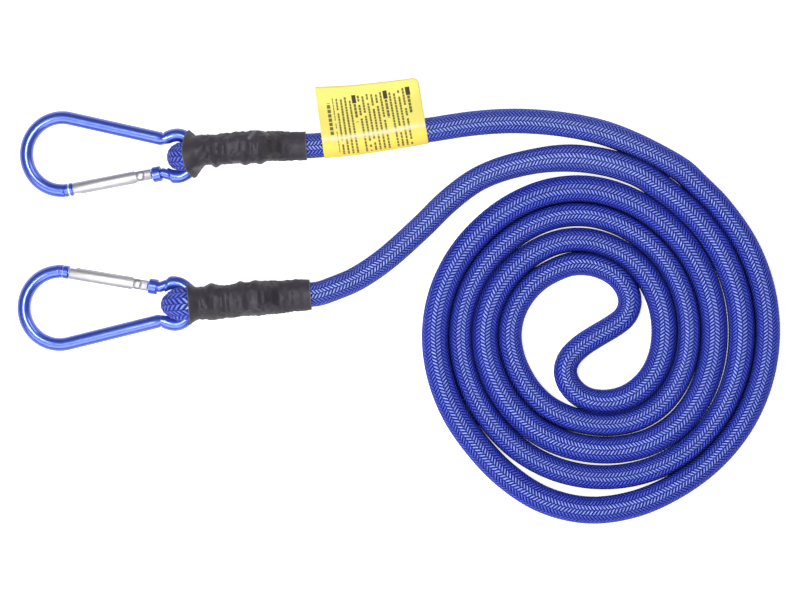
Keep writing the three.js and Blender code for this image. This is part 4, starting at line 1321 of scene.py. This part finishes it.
def tag_material(film_length):
    material, graph = start_material("tag_film")
    along, out = uv_parts(graph)
    # Printed bars run out from the cord in columns, broken into short dashes. The heavy
    # columns start with a block and have broader dashes.
    column = (along / print_pitch).floor()
    within = (along / print_pitch).fraction()
    heavy = 0.0
    for which in heavy_columns:
        heavy = (abs(column - which) < 0.5) + heavy
    light = 1 - heavy
    started = film_length / 2 - print_margin - (column * 0.37).fraction() * light - out
    word = started / (1.3 + heavy * 0.4)
    number = graph.node("ShaderNodeCombineXYZ", None, (column, word.floor(), 0.0))
    chance = graph.node("ShaderNodeTexWhiteNoise", {"noise_dimensions": "2D"}, {"Vector": number})
    dash = (chance > 0.1) * (word.fraction() > 0.15 * chance + 0.06)
    letters = (out * 2.1 + column * 0.37).fraction() > 0.25
    line = (within > 0.26 - heavy * 0.06) * (within < 0.7 + heavy * 0.08)
    block = heavy * (started < block_length) * (within > 0.02) * (within < 0.98)
    first, last = (place * print_pitch for place in print_columns)
    shown = (started > 0.0) * (out > 2.0) * (along > first) * (along < last)
    ended = 1 - heavy * (started > heavy_length)
    bold = (along > bold_sides[0]) * (along < bold_sides[1])
    bold = bold * (started > bold_ends[0]) * (started < bold_ends[1])
    bold = bold * ((out / 2.1).fraction() > 0.22)
    text = shown * block.at_least(line * dash * ended * (0.6 + 0.35 * letters))
    ink = text.at_least(bold * 0.85)
    cloud = mottled(graph, object_place(graph), 90.0, 3.0)
    # A painted highlight lies pale along the film's bend over the cord, and the film looks deeper
    # on the cord.
    bend = tag_wrap * (math.pi - tag_touch)
    off_bend = abs(out - bend + cloud * 1.2)
    bend_highlight = graph.node("ShaderNodeMapRange", None, (off_bend, 0.0, 1.5, 1.0, 0.0))
    deep = graph.node("ShaderNodeMapRange", None, (out, bend - 1.5, bend, 1.0, 0.0))
    colour = graph.mixed(cloud * 0.3, tag_yellow, tag_pale)
    colour = graph.mixed(deep * 0.75, colour, tag_deep)
    colour = graph.mixed(ink * (1 - bend_highlight * 0.6), colour, tag_ink)
    colour = graph.mixed(bend_highlight * 0.8, colour, tag_highlight)
    finish_material(graph, {
        "Base Color": colour, "Roughness": 0.4 + 0.12 * cloud, "Specular IOR Level": 0.3,
        "Normal": bumped(graph, 0.1, 0.0002, cloud)})
    return material


tag, film_length = tag_piece()
tag.data.materials.append(tag_material(film_length))
thick = tag.modifiers.new("film", "SOLIDIFY")
thick.thickness = tag_film * MM
thick.offset = 0
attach(tag, "cord_and_hooks")
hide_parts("tag")


# The point where the cord leaves sleeve A, in metres. It is worked out and not kept.
tuple(on_sleeve("a", sleeve_length["a"], 0, sleeve_height) * MM)
